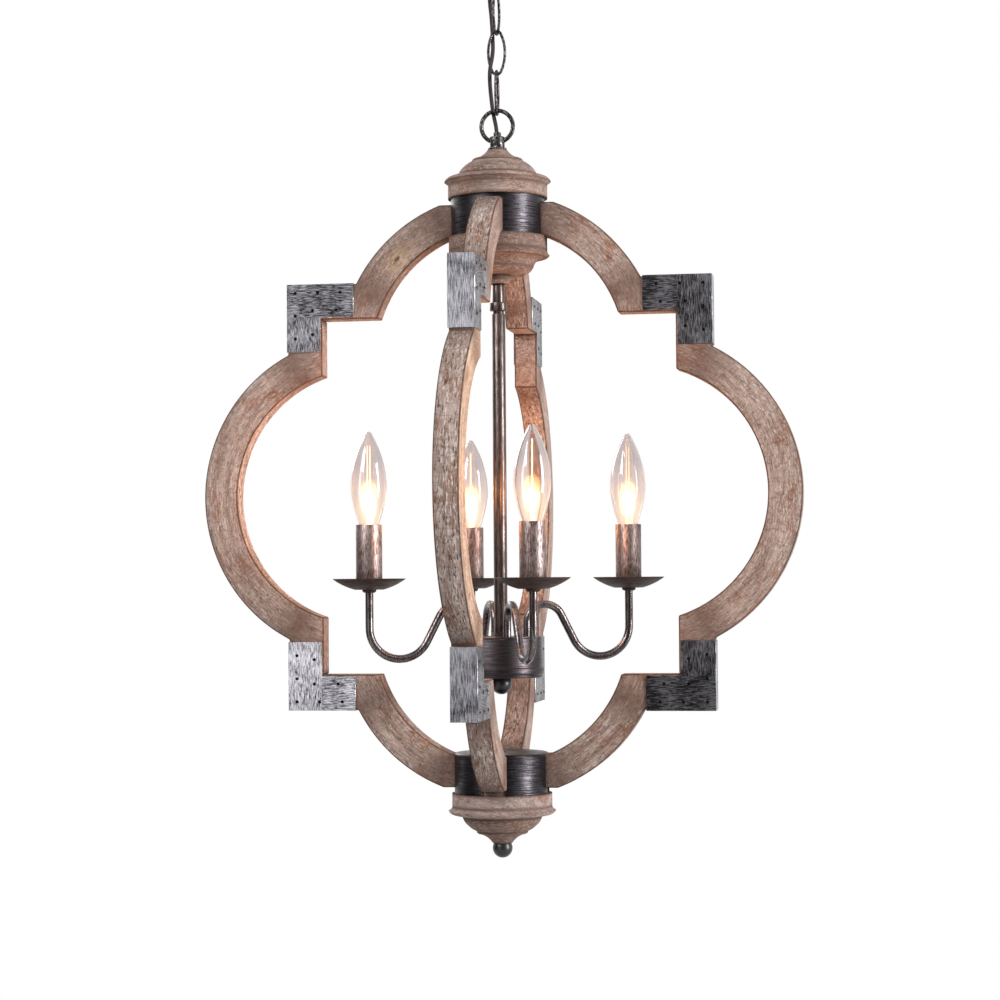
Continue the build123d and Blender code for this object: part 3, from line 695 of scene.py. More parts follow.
class Workpiece:
    """A mesh shaped by hand with edit-mode operators, in millimetres of the object's own frame."""

    def __init__(self, name: str, start: Place) -> None:
        """Add a small plane and draw it together to one point.

        Args:
            name: Name of the piece.
            start: Where the point stands.
        """
        bpy.ops.object.select_all(action="DESELECT")
        bpy.ops.mesh.primitive_plane_add(size=MM)
        self.body = bpy.context.object
        self.body.name = name
        self.body.data.name = name
        bpy.ops.object.mode_set(mode="EDIT")
        bpy.ops.mesh.select_all(action="SELECT")
        bpy.ops.mesh.merge(type="CENTER")
        bpy.ops.transform.translate(value=Vector(start) * MM)
        self.tip = Vector(start)

    def walk(self, *places: Place) -> "Workpiece":
        """Extrude the selection to each place in turn.

        Args:
            places: Where to go, in millimetres.
        Returns:
            This workpiece.
        """
        for place in places:
            step = (Vector(place) - self.tip) * MM
            extrude(step)
            self.tip = Vector(place)
        return self

    def climb(self, place: Place, steps: int) -> "Workpiece":
        """Extrude the selection straight to a place in several steps."""
        start = self.tip.copy()
        return self.walk(*[tuple(start.lerp(Vector(place), (i + 1) / steps)) for i in range(steps)])

    def swing(self, centre: Place, angle: float, steps: int) -> "Workpiece":
        """Spin the selection about an axis along Y.

        Args:
            centre: A point of the axis.
            angle: Degrees, from +X towards +Z.
            steps: Faces along the arc.
        Returns:
            This workpiece.
        """
        bpy.ops.mesh.spin(steps=steps, angle=math.radians(angle), center=Vector(centre) * MM, axis=(0, 1, 0))
        turned = Matrix.Rotation(math.radians(-angle), 3, "Y") @ (self.tip - Vector(centre))
        self.tip = Vector(centre) + turned
        return self

    def bow(self, place: Place, sagitta: float, steps: int = 8) -> "Workpiece":
        """Swing to a place on an arc that stands off the straight line.

        Args:
            place: End of the arc, on the XZ plane.
            sagitta: How far its middle stands to the left of travel.
            steps: Faces along the arc.
        Returns:
            This workpiece.
        """
        chord = Vector(place) - self.tip
        reach = abs(sagitta)
        sign = math.copysign(1.0, sagitta)
        radius = (chord.length_squared / 4 + reach ** 2) / (2 * reach)
        left = Vector((-chord.z, 0.0, chord.x)).normalized()
        centre = (self.tip + Vector(place)) / 2 - left * sign * (radius - reach)
        angle = 4 * math.degrees(math.atan(2 * reach / chord.length))
        self.swing(tuple(centre), -sign * angle, steps)
        self.tip = Vector(place)
        return self

    def clean(self) -> "Workpiece":
        """Merge what meets and point the faces outwards.

        Returns:
            This workpiece.
        """
        bpy.ops.mesh.select_all(action="SELECT")
        bpy.ops.mesh.remove_doubles(threshold=MERGE)
        bpy.ops.mesh.normals_make_consistent(inside=False)
        return self

    def lathe(self, steps: int = 96) -> "Workpiece":
        """Spin the whole outline once round the Z axis.

        Args:
            steps: Faces round the axis.
        Returns:
            This workpiece.
        """
        bpy.ops.mesh.select_all(action="SELECT")
        bpy.ops.mesh.spin(steps=steps, angle=math.tau, center=(0, 0, 0), axis=(0, 0, 1))
        return self.clean()

    def done(self, bevel: float = 0.0, segments: int = 2, edge_slot: int = -1,
             sharp: float = SHARP) -> Piece:
        """Leave edit mode, ease the sharp edges and shade the round ones smooth.

        Args:
            bevel: Width of the eased edges.
            segments: Faces across an eased edge.
            edge_slot: Material number of the eased edges, or -1 for that of their neighbours.
            sharp: Angle in degrees from which an edge is sharp.
        Returns:
            The finished object.
        """
        bpy.ops.object.mode_set(mode="OBJECT")
        return eased(self.body, bevel, segments, edge_slot, sharp)


def pick(piece: Piece) -> None:
    """Select one object alone and make it active.

    Args:
        piece: Object to select.
    """
    bpy.ops.object.select_all(action="DESELECT")
    piece.select_set(True)
    bpy.context.view_layer.objects.active = piece


def wire_ring(vertices: int, radius: float, place: Place) -> Piece:
    """Lay a level ring of points and open it in edit mode, all selected.

    Args:
        vertices: Points round the ring.
        radius: Its radius in millimetres.
        place: Its centre in millimetres.
    Returns:
        The ring.
    """
    bpy.ops.object.select_all(action="DESELECT")
    bpy.ops.mesh.primitive_circle_add(vertices=vertices, radius=radius * MM, location=Vector(place) * MM)
    bpy.ops.object.transform_apply(location=True, rotation=True, scale=True)
    bpy.ops.object.mode_set(mode="EDIT")
    bpy.ops.mesh.select_all(action="SELECT")
    return bpy.context.object


def face_out() -> None:
    """Select the whole mesh in edit mode and point its faces outwards."""
    bpy.ops.mesh.select_all(action="SELECT")
    bpy.ops.mesh.normals_make_consistent(inside=False)


def turned(name: str, outline: list[Flat], steps: int, bevel: float = 0.0, segments: int = 2) -> Piece:
    """Turn a piece with a straight-lined outline about the Z axis.

    Args:
        name: Name of the piece.
        outline: Radius and level of each corner.
        steps: Faces round the axis.
        bevel: Width of the eased edges.
        segments: Faces across an eased edge.
    Returns:
        The finished object.
    """
    first, *rest = [(radius, 0.0, level) for radius, level in outline]
    return Workpiece(name, first).walk(*rest).lathe(steps).done(bevel, segments)


def apply_modifier(piece: Piece, kind: str, **settings: object) -> None:
    """Add a modifier with its settings and apply it.

    Args:
        piece: Object that takes the modifier.
        kind: Blender's name of the modifier type.
        settings: Attributes of the modifier.
    """
    pick(piece)
    modifier = piece.modifiers.new(kind.lower(), kind)
    for name, value in settings.items():
        setattr(modifier, name, value)
    bpy.ops.object.modifier_apply(modifier=modifier.name)


def eased(piece: Piece, bevel: float, segments: int = 2, edge_slot: int = -1,
          sharp: float = SHARP) -> Piece:
    """Bevel a piece's sharp edges and shade it smooth by angle.

    Args:
        piece: Object to ease.
        bevel: Width in millimetres, or 0 for none.
        segments: Faces across an eased edge.
        edge_slot: Material number of the eased edges, or -1 for that of their neighbours.
        sharp: Angle in degrees from which an edge is sharp.
    Returns:
        The same object.
    """
    if bevel:
        apply_modifier(piece, "BEVEL", width=bevel * MM, segments=segments, limit_method="ANGLE",
                       angle_limit=math.radians(sharp), material=edge_slot, use_clamp_overlap=True)
    pick(piece)
    bpy.ops.object.shade_smooth_by_angle(angle=math.radians(sharp + SHADE_MARGIN))
    return piece


def twin(piece: Piece, name: str, place: Matrix) -> Piece:
    """Copy a piece with its own mesh, moved to a place.

    Args:
        piece: Object to copy.
        name: Name of the copy.
        place: Move from the first piece's place, in metres.
    Returns:
        The copy.
    """
    copy = piece.copy()
    copy.data = piece.data.copy()
    copy.name = name
    copy.data.name = name
    bpy.context.scene.collection.objects.link(copy)
    copy.data.transform(place)
    if place.determinant() < 0:
        copy.data.flip_normals()
    return copy


def joined(name: str, pieces: list[Piece]) -> Piece:
    """Join several objects into one.

    Args:
        name: Name of the result.
        pieces: Objects to join.
    Returns:
        The joined object.
    """
    bpy.ops.object.select_all(action="DESELECT")
    for piece in pieces:
        piece.select_set(True)
    bpy.context.view_layer.objects.active = pieces[0]
    bpy.ops.object.join()
    result = bpy.context.object
    result.name = name
    result.data.name = name
    return result


def removed(*pieces: Piece) -> None:
    """Take patterns and cutters out of the scene again."""
    for piece in pieces:
        bpy.data.objects.remove(piece)


def lift(height: float) -> Matrix:
    """Move straight up, in millimetres."""
    return Matrix.Translation((0.0, 0.0, height * MM))


def quarter_turn(angle: float) -> Matrix:
    """Turn about the Z axis, in degrees."""
    return Matrix.Rotation(math.radians(angle), 4, "Z")


FLIP = Matrix.Diagonal((1.0, 1.0, -1.0, 1.0))


def mark_grain(piece: Piece, grain: list[Place], run_end: list[float]) -> None:
    """Store the wood's grain coordinates and the distance to the nearest stained end on each vertex.

    Args:
        piece: Wooden object.
        grain: Along, across and through the grain, in metres.
        run_end: Distance to the nearest stained end, in metres.
    """
    along = piece.data.attributes.new("grain", "FLOAT_VECTOR", "POINT")
    along.data.foreach_set("vector", [part for place in grain for part in place])
    ends = piece.data.attributes.new("run_end", "FLOAT", "POINT")
    ends.data.foreach_set("value", run_end)


def mark_turned_grain(piece: Piece, offset: float, creases: list[Flat]) -> None:
    """Lay the grain of a turned piece level along X and measure how far each point is from a crease.

    Args:
        piece: Turned object, about the Z axis.
        offset: Distance that sets its figure apart from the other pieces'.
        creases: Radius and level of each crease, in millimetres.
    """
    grain = []
    away = []
    for vertex in piece.data.vertices:
        radius = math.hypot(vertex.co.x, vertex.co.y) / MM
        level = vertex.co.z / MM
        grain.append((vertex.co.x, vertex.co.z, vertex.co.y + offset))
        away.append(min(math.hypot(radius - r, level - z) for r, z in creases) * MM)
    mark_grain(piece, grain, away)


def settle(piece: Piece, finish: Finish, body: str, *nodes: str,
           edges: tuple[Finish, ...] = ()) -> None:
    """Dress a finished piece, tie it to its body and let it stand for its nodes.

    Args:
        piece: Finished object, in its place.
        finish: Main finish.
        body: Body that carries it.
        nodes: Construction nodes that it stands for.
        edges: Finishes of further material numbers.
    """
    finish.dress(piece, *edges)
    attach(piece, body)
    if nodes:
        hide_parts(*nodes)
    LOG.info("piece %s rides on %s, %d faces", piece.name, body, len(piece.data.polygons))


def keep(finish: Finish, *nodes: str) -> None:
    """Dress construction nodes that show as they are.

    Args:
        finish: Finish that they get.
        nodes: Names of the nodes.
    """
    for node in nodes:
        finish.dress(bpy.data.objects[node])
        LOG.info("node %s is kept, in %s", node, finish.name)


@dataclass
class SupplyCord:
    """Covered lead woven through the chain, in one stretch for each hinge of the chain."""

    diameter: float = 3.6
    splits: tuple[float, ...] = (-78.8, -114.5, -150.2)
    hinges: tuple[float, ...] = (-63.0, -98.05, -133.75, -169.45)
    bend_reach: float = 14.5
    bodies: tuple[str, ...] = ("ceiling", "link_top", "link_middle", "link_bottom", "lantern")
    route: tuple[Place, ...] = (
        (0.0, 0.0, -34.2), (0.0, 0.0, -43.0), (-1.3, -1.5, -52.0), (-4.8, -4.8, -62.5),
        (-5.2, -3.4, -70.0), (-4.6, 1.6, -81.5), (-4.2, 4.3, -97.5), (-3.0, 0.2, -114.0),
        (-5.4, -4.4, -129.5), (-6.0, -2.2, -139.5), (-5.8, 2.6, -151.5), (-4.4, 4.6, -167.0),
        (0.0, 0.0, -184.0), (0.0, 0.0, -195.5),
    )

    def line(self) -> list[Vector]:
        """Return points along a smooth spline through the route's control points.

        Returns:
            The points, in metres.
        """
        curve = bpy.data.curves.new("cord_route", "CURVE")
        curve.dimensions = "3D"
        curve.resolution_u = 24
        spline = curve.splines.new("NURBS")
        spline.points.add(len(self.route) - 1)
        for point, place in zip(spline.points, self.route):
            point.co = (*(Vector(place) * MM), 1.0)
        spline.order_u = 3
        spline.use_endpoint_u = True
        guide = bpy.data.objects.new("cord_route", curve)
        mesh = bpy.data.meshes.new_from_object(guide)
        points = [vertex.co.copy() for vertex in mesh.vertices]
        bpy.data.objects.remove(guide)
        bpy.data.meshes.remove(mesh)
        return points

    def stretch(self, name: str, points: list[Vector]) -> Piece:
        """Make one stretch of round cord along points of the line.

        Args:
            name: Name of the stretch.
            points: Its points, in metres.
        Returns:
            The stretch as a mesh.
        """
        curve = bpy.data.curves.new(name, "CURVE")
        curve.dimensions = "3D"
        curve.bevel_depth = self.diameter / 2 * MM
        curve.bevel_resolution = 4
        spline = curve.splines.new("POLY")
        spline.points.add(len(points) - 1)
        for point, place in zip(spline.points, points):
            point.co = (*place, 1.0)
        cord = bpy.data.objects.new(name, curve)
        bpy.context.scene.collection.objects.link(cord)
        pick(cord)
        bpy.ops.object.convert(target="MESH")
        cord = bpy.context.object
        return eased(cord, 0.0, sharp=60.0)

    def build(self) -> None:
        points = self.line()
        cuts = [0] + [min(range(len(points)), key=lambda i: abs(points[i].z - z * MM)) for z in self.splits]
        cuts.append(len(points) - 1)
        for number, hinge in enumerate(self.hinges):
            run = points[cuts[number]:cuts[number + 1] + 1]
            cord = self.stretch(f"supply_cord_{number + 1}", run)
            CORD.dress(cord)
            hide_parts("supply_cord")
            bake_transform(cord)


@dataclass
class HangingGear:
    """Canopy, loops and chain links."""

    canopy_radius: float = 60.0
    canopy_depth: float = 28.0
    canopy_sheet: float = 1.2
    canopy_rim_height: float = 5.0
    canopy_step: float = 4.0
    canopy_crown_radius: float = 16.0
    canopy_bore: float = 4.2
    ring_radius: float = 14.1
    ring_wire_radius: float = 1.9
    knob_radius: float = 6.6
    knob_top: float = -9.4
    knob_base: float = -20.9
    knob_flange_radius: float = 8.4
    knob_flange_height: float = 1.5
    bushing_radius: float = 3.4
    bushing_height: float = 4.0
    wireway_radius: float = 2.4
    link_length: float = 41.0
    link_width: float = 17.4
    link_wire_radius: float = 1.25
    link_end_radius: float = 4.2
    link_headings: tuple[float, ...] = (79.0, 0.0, 90.0)
    dent: float = 0.16
    dent_size: float = 2.2

    def dented(self, piece: Piece) -> Piece:
        """Push a smooth casting in and out a little, as a hammer leaves it.

        Args:
            piece: Object to dent.
        Returns:
            The same object.
        """
        clouds = bpy.data.textures.get("hammer_marks") or bpy.data.textures.new("hammer_marks", "CLOUDS")
        clouds.noise_scale = self.dent_size * MM
        apply_modifier(piece, "DISPLACE", texture=clouds, strength=self.dent * MM, mid_level=0.5,
                       texture_coords="LOCAL")
        return piece

    def canopy(self) -> Piece:
        """Turn the ceiling dish, with its step and domed crown, as a sheet of even thickness.

        Returns:
            The dish.
        """
        shoulder = self.canopy_radius - self.canopy_step
        reach = shoulder - self.canopy_crown_radius
        drop = self.canopy_depth - self.canopy_rim_height
        sheet = self.canopy_sheet
        bulge = reach ** 2 + drop ** 2
        radius = bulge / (2 * drop)
        sagitta = radius - math.sqrt(radius ** 2 - bulge / 4)
        dish = Workpiece("canopy", (self.canopy_radius, 0.0, 0.0))
        dish.walk((self.canopy_radius, 0.0, -self.canopy_rim_height))
        dish.walk((shoulder, 0.0, -self.canopy_rim_height))
        dish.bow((self.canopy_crown_radius, 0.0, -self.canopy_depth), sagitta, 20)
        dish.walk((self.canopy_bore, 0.0, -self.canopy_depth))
        dish.walk((self.canopy_bore, 0.0, sheet - self.canopy_depth))
        dish.walk((self.canopy_crown_radius, 0.0, sheet - self.canopy_depth))
        dish.bow((shoulder - sheet, 0.0, sheet - self.canopy_rim_height), -sagitta, 20)
        dish.walk((self.canopy_radius - sheet, 0.0, sheet - self.canopy_rim_height),
                  (self.canopy_radius - sheet, 0.0, 0.0), (self.canopy_radius, 0.0, 0.0))
        return dish.lathe(128).done(0.5)

    def loop(self, name: str) -> Piece:
        """Model one ring with its knob, ring at the origin.

        Args:
            name: Name of the piece.
        Returns:
            Ring and knob as one object.
        """
        bpy.ops.object.select_all(action="DESELECT")
        bpy.ops.mesh.primitive_torus_add(
            major_radius=self.ring_radius * MM, minor_radius=self.ring_wire_radius * MM,
            major_segments=120, minor_segments=28, rotation=(math.pi / 2, 0.0, 0.0))
        bpy.ops.object.transform_apply(location=True, rotation=True, scale=True)
        ring = eased(bpy.context.object, 0.0)
        neck = self.knob_base + self.knob_flange_height
        knob = Workpiece("knob", (self.wireway_radius, 0.0, self.knob_base))
        knob.walk((self.knob_flange_radius, 0.0, self.knob_base), (self.knob_flange_radius, 0.0, neck))
        knob.walk((self.knob_radius, 0.0, neck))
        knob.climb((self.knob_radius, 0.0, self.knob_top), 4)
        knob.walk((self.bushing_radius, 0.0, self.knob_top))
        mouth = self.knob_top + self.bushing_height
        knob.walk((self.bushing_radius, 0.0, mouth), (self.wireway_radius, 0.0, mouth))
        knob.walk((self.wireway_radius, 0.0, self.knob_base))
        stem = knob.lathe(48).done(0.8, 3)
        return joined(name, [self.dented(ring), self.dented(stem)])

    def link(self) -> Piece:
        """Bend one oval link of round wire out of four arcs, on the XZ plane at the origin.

        Returns:
            The link.
        """
        half_width = self.link_width / 2 - self.link_wire_radius
        half_length = self.link_length / 2 - self.link_wire_radius
        end = half_length - self.link_end_radius
        side = half_width ** 2 + end ** 2 - self.link_end_radius ** 2
        side /= 2 * (half_width - self.link_end_radius)
        side_centre = half_width - side
        turn = math.degrees(math.atan2(end, -side_centre))
        wire = wire_ring(20, self.link_wire_radius, (half_width, 0.0, 0.0))
        for centre, angle, steps in (
            ((side_centre, 0.0, 0.0), turn, 14), ((0.0, 0.0, end), 180.0 - 2 * turn, 20),
            ((-side_centre, 0.0, 0.0), 2 * turn, 28), ((0.0, 0.0, -end), 180.0 - 2 * turn, 20),
            ((side_centre, 0.0, 0.0), turn, 14),
        ):
            bpy.ops.mesh.spin(steps=steps, angle=math.radians(angle), center=Vector(centre) * MM,
                              axis=(0, 1, 0))
        bpy.ops.mesh.select_all(action="SELECT")
        bpy.ops.mesh.remove_doubles(threshold=MERGE * 10)
        bpy.ops.mesh.normals_make_consistent(inside=False)
        bpy.ops.object.mode_set(mode="OBJECT")
        return self.dented(eased(wire, 0.0))

    def build(self) -> None:
        """Hang the links and loops at the heights of their nodes."""
        settle(self.canopy(), HUB_SHEET, "ceiling", "canopy")
        ring_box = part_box("top_loop")
        loop = self.loop("top_loop_piece")
        reach = self.ring_radius + self.ring_wire_radius
        hung = Matrix.Translation((0, 0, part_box("canopy_loop")[0].z + reach * MM))
        upper = twin(loop, "canopy_loop_piece", hung @ Matrix.Rotation(math.pi, 4, "X"))
        loop.data.transform(Matrix.Translation((0, 0, ring_box[1].z - reach * MM)))
        settle(loop, IRON, "lantern", "top_loop")
        settle(upper, IRON, "ceiling", "canopy_loop")
        pattern = self.link()
        for name, heading in zip(("top", "middle", "bottom"), self.link_headings):
            low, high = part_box(f"chain_link_{name}")
            place = Matrix.Translation((0, 0, (low.z + high.z) / 2)) @ quarter_turn(heading)
            settle(twin(pattern, f"link_{name}_piece", place), IRON, f"link_{name}", f"chain_link_{name}")
        removed(pattern)
        keep(STEEL, "crossbar", "canopy_nipple", "canopy_nut", "top_nipple")
        keep(DARK_NUT, "rod_nuts", "arm_nuts")


@dataclass(frozen=True)
class RubbingAndLight:
    """How one sheet corner looks: its painted light and shade, its corner's streaks, its edges kept dark as
    painted shade.
    """

    level: float = 0.0
    upright_corner: bool = False
    painted_dark_edges: bool = False


# Sheet corners that differ from the plain ones, in painted light and shade, in their corner's streaks and in
# edges kept dark as painted shade
RUBBINGS_AND_LIGHT = {
    ("left", "upper"): RubbingAndLight(-0.1),
    ("left", "lower"): RubbingAndLight(0.95, upright_corner=True),
    ("right", "upper"): RubbingAndLight(-0.25, upright_corner=True, painted_dark_edges=True),
    ("right", "lower"): RubbingAndLight(-0.3, painted_dark_edges=True),
    ("front", "upper"): RubbingAndLight(painted_dark_edges=True),
    ("front", "lower"): RubbingAndLight(-0.17, painted_dark_edges=True),
}


@dataclass
class Wings:
    """Four quatrefoil wings of wood with their sheet corners and nails."""

    middle: float
    lobe_offset: float = 123.0
    lobe_radius: float = 142.0
    band_width: float = 30.0
    corner_reach: float = 188.0
    foot_width: float = 31.0
    thickness: float = 21.0
    tongue_reach: float = 14.0
    tongue_start: float = 50.5
    tongue_height: float = 29.2
    neck_radius: float = 43.5
    bracket_gap: float = 0.1
    bracket_sheet: float = 0.8
    limb_length: float = 60.6
    limb_width: float = 30.4
    nail_edge: float = 7.8
    nail_step: float = 20.4
    nail_inner: float = 23.5
    nail_inner_step: float = 21.5
    nail_radius: float = 1.6
    nail_height: float = 0.7
    nail_profile: tuple[Flat, ...] = ((0.6, 0.92), (0.4, 0.92), (-0.5, 0.9), (-0.3, 0.6))
    nail_crest: float = 0.8
    arc_steps: int = 56
    eased_edge: float = 1.2
    figure_step: float = 3.0
    streak_step: float = 2.0
    broad_facing: float = 0.9
    strip_facing: float = 0.7

    @property
    def inner_radius(self) -> float:
        """Radius of the lobes' inner edge."""
        return self.lobe_radius - self.band_width

    @property
    def inner_corner(self) -> float:
        """Reach of the inner corner, where the arcs meet under a bracket."""
        return self.corner_reach - self.foot_width

    @property
    def outer(self) -> float:
        """Reach of a bracket's outer faces."""
        return self.corner_reach + self.bracket_gap + self.bracket_sheet

    def band(self, name: str, chains: list[list]) -> Piece:
        """Bridge an outer and an inner chain into a flat band and give it the wood's thickness.

        Args:
            name: Name of the piece.
            chains: Two chains of points; a pair with an angle is an arc about a centre.
        Returns:
            The slab, on the XZ plane.
        """
        sides = []
        for number, chain in enumerate(chains):
            edge = Workpiece(f"{name}_{number}", chain[0])
            for step in chain[1:]:
                if len(step) == 2:
                    edge.swing(step[0], step[1], self.arc_steps)
                else:
                    edge.walk(step)
            sides.append(edge.done())
        slab = joined(name, sides)
        bpy.ops.object.mode_set(mode="EDIT")
        bpy.ops.mesh.select_all(action="SELECT")
        bpy.ops.mesh.bridge_edge_loops(number_cuts=3, interpolation="LINEAR")
        face_out()
        bpy.ops.object.mode_set(mode="OBJECT")
        apply_modifier(slab, "SOLIDIFY", thickness=self.thickness * MM, offset=0.0)
        SAWN.coat(slab, ARRIS, LIT_TAN_SIDE)
        return eased(slab, self.eased_edge, edge_slot=WoodFace.ARRIS)

    def angle_at(self, centre: Flat, place: Flat) -> float:
        """Angle of a place as seen from a centre, in degrees from +X towards +Z."""
        return math.degrees(math.atan2(place[1] - centre[1], place[0] - centre[0]))

    def side_arc(self) -> Piece:
        """Model the side lobe of the +X wing with its square feet, about the middle plane.

        Returns:
            The arc.
        """
        corner, inner = self.corner_reach, self.inner_corner
        centre = (self.lobe_offset, 0.0, 0.0)
        chains = []
        for reach, radius in ((corner, self.lobe_radius), (inner, self.inner_radius)):
            rise = math.sqrt(radius ** 2 - (reach - self.lobe_offset) ** 2)
            half = self.angle_at((self.lobe_offset, 0.0), (reach, rise))
            chains.append([(reach, 0.0, -inner), (reach, 0.0, -rise), (centre, 2 * half),
                           (reach, 0.0, inner)])
        return self.band("side_arc", chains)

    def upper_arc(self) -> Piece:
        """Model the upper lobe of the +X wing, from the drum to the square corner.

        Returns:
            The arc.
        """
        corner, inner = self.corner_reach, self.inner_corner
        offset = self.lobe_offset
        centre = (0.0, 0.0, offset)
        top = offset + math.sqrt(self.lobe_radius ** 2 - self.tongue_start ** 2)
        low = top - self.tongue_height
        outer_end = math.sqrt(self.lobe_radius ** 2 - (corner - offset) ** 2)
        outer_turn = (self.angle_at((0.0, offset), (outer_end, corner))
                      - self.angle_at((0.0, offset), (self.tongue_start, top)))
        shoulder_level = offset + math.sqrt(self.inner_radius ** 2 - self.neck_radius ** 2)
        inner_end = math.sqrt(self.inner_radius ** 2 - (inner - offset) ** 2)
        inner_turn = (self.angle_at((0.0, offset), (inner_end, inner))
                      - self.angle_at((0.0, offset), (self.neck_radius, shoulder_level)))
        return self.band("upper_arc", [
            [(self.tongue_reach, 0.0, top), (self.tongue_start, 0.0, top), (centre, outer_turn),
             (corner, 0.0, corner)],
            [(self.tongue_reach, 0.0, low), (self.neck_radius, 0.0, shoulder_level), (centre, inner_turn),
             (corner, 0.0, inner)],
        ])

    def grain_of(self, piece: Piece, centre: Flat, ends: Flat, offset: float) -> None:
        """Bend the grain round a lobe and measure each point's distance to the visible ends.

        Args:
            piece: Arc of wood, on the XZ plane.
            centre: Centre of its lobe.
            ends: Angles of its two visible ends.
            offset: Distance that sets its figure apart from the other pieces'.
        """
        middle_radius = self.lobe_radius - self.band_width / 2
        grain = []
        run_end = []
        for vertex in piece.data.vertices:
            across = vertex.co.x / MM - centre[0]
            up = vertex.co.z / MM - centre[1]
            angle = math.degrees(math.atan2(up, across))
            along = math.radians(angle) * middle_radius * MM
            grain.append((along, (math.hypot(across, up) - middle_radius) * MM, vertex.co.y + offset))
            run_end.append(math.radians(min(abs(angle - end) for end in ends)) * middle_radius * MM)
        mark_grain(piece, grain, run_end)

    def paint_lit_sides(self, arc: Piece) -> None:
        """Give the broad faces of an arc, on the XZ plane, a paler tan: painted light, as if more light fell
        on them.

        Args:
            arc: Arc of wood.
        """
        for face in arc.data.polygons:
            if face.material_index == WoodFace.FACE and abs(face.normal.y) > self.broad_facing:
                face.material_index = WoodFace.TAN

    def bracket(self) -> Piece:
        """Fold one upper sheet corner over the +X wing: two L plates and the strips over the outer edges.

        Returns:
            The sheet corner.
        """
        outer = self.outer
        end = outer - self.limb_length
        inside = outer - self.limb_width
        plate = Workpiece("bracket", (end, 0.0, outer))
        plate.walk((inside, 0.0, outer), (outer, 0.0, outer), (outer, 0.0, inside), (outer, 0.0, end),
                   (inside, 0.0, end), (inside, 0.0, inside), (end, 0.0, inside), (end, 0.0, outer))
        bpy.ops.mesh.select_all(action="SELECT")
        bpy.ops.mesh.remove_doubles(threshold=MERGE)
        bpy.ops.mesh.edge_face_add()
        bpy.ops.mesh.select_all(action="SELECT")
        half = self.thickness / 2 + self.bracket_gap + self.bracket_sheet
        bpy.ops.transform.translate(value=(0.0, -half * MM, 0.0))
        extrude((0.0, 2 * half * MM, 0.0))
        face_out()
        for across in ((0.0, 0.0, 1.0), (1.0, 0.0, 0.0)):
            bpy.ops.mesh.select_all(action="SELECT")
            bpy.ops.mesh.bisect(plane_co=(inside * MM, 0.0, inside * MM), plane_no=across)
        bpy.ops.mesh.select_all(action="DESELECT")
        bpy.ops.object.mode_set(mode="OBJECT")
        sheet = plate.body
        inward = {(-1, 0, 0), (0, 0, -1)}
        for face in sheet.data.polygons:
            heading = tuple(round(part) for part in face.normal)
            face.select = heading in inward
        bpy.ops.object.mode_set(mode="EDIT")
        bpy.ops.mesh.select_mode(type="FACE")
        bpy.ops.mesh.delete(type="FACE")
        bpy.ops.mesh.select_mode(type="VERT")
        bpy.ops.object.mode_set(mode="OBJECT")
        apply_modifier(sheet, "SOLIDIFY", thickness=self.bracket_sheet * MM, offset=-1.0)
        SHEET_LEVEL.coat(sheet, SHEET_UPRIGHT, BARE_EDGE, SHEET_STRIP)
        return eased(sheet, 0.4, 1, edge_slot=SheetFace.EDGE)

    def scour_and_light(self, sheet: Piece, pattern: Piece, rubbing_and_light: RubbingAndLight,
              offset: float) -> None:
        """Number a bracket's faces by the way they were scoured and store its coordinates and its brightness,
        which is painted light and shade.

        Args:
            sheet: Bracket in its place.
            pattern: The same bracket as it was folded.
            rubbing_and_light: How it was scoured, and its painted light and shade.
            offset: Distance that sets its streaks apart from the others', in metres.
        """
        seam = (self.outer - self.limb_width) * MM
        for face, folded in zip(sheet.data.polygons, pattern.data.polygons):
            # Corners with dark edges take the limb's finish on their eased edges instead of bare steel:
            # painted shade.
            if face.material_index == SheetFace.EDGE and not rubbing_and_light.painted_dark_edges:
                continue
            level = folded.center.x < seam if rubbing_and_light.upright_corner else folded.center.z > seam
            limb = SheetFace.LEVEL if level else SheetFace.UPRIGHT
            face.material_index = SheetFace.STRIP if abs(folded.normal.x) > self.strip_facing else limb
        own = sheet.data.attributes.new("sheet", "FLOAT_VECTOR", "POINT")
        shift = Vector((offset, offset, offset))
        places = [vertex.co + shift for vertex in pattern.data.vertices]
        own.data.foreach_set("vector", [part for place in places for part in place])
        # Every face stores its corner's level, which brightens or darkens it: painted light and shade.
        scoured = sheet.data.attributes.new("scour_and_light", "FLOAT", "FACE")
        scoured.data.foreach_set("value", [rubbing_and_light.level] * len(sheet.data.polygons))

    def nail(self) -> Piece:
        """Model one sunk nail head with the burr round it, on the Z axis, its foot at the origin.

        Returns:
            The nail head.
        """
        bpy.ops.object.select_all(action="DESELECT")
        bpy.ops.mesh.primitive_circle_add(vertices=12, radius=self.nail_radius * MM, fill_type="NGON")
        head = bpy.context.object
        bpy.ops.object.mode_set(mode="EDIT")
        bpy.ops.mesh.select_all(action="SELECT")
        for rise, share in self.nail_profile:
            extrude((0.0, 0.0, rise * self.nail_height * MM))
            bpy.ops.transform.resize(value=(share, share, 1.0), center_override=(0.0, 0.0, 0.0))
        face_out()
        bpy.ops.object.mode_set(mode="OBJECT")
        NAIL_RIM.coat(head, NAIL_HEAD)
        crest = self.nail_crest * self.nail_radius * MM
        for face in head.data.polygons:
            face.material_index = 1 if math.hypot(face.center.x, face.center.y) < crest else 0
        return eased(head, 0.0, sharp=60.0)

    def nail_places(self) -> list[Flat]:
        """Return the nails of one bracket face, as distances from its two outer edges.

        Returns:
            The two distances of each nail.
        """
        row = [self.nail_edge + step * self.nail_step for step in range(3)]
        outer = [(a, self.nail_edge) for a in row] + [(self.nail_edge, a) for a in row[1:]]
        far = self.nail_inner + self.nail_inner_step
        return outer + [(self.nail_inner, self.nail_inner), (far, self.nail_inner), (self.nail_inner, far)]

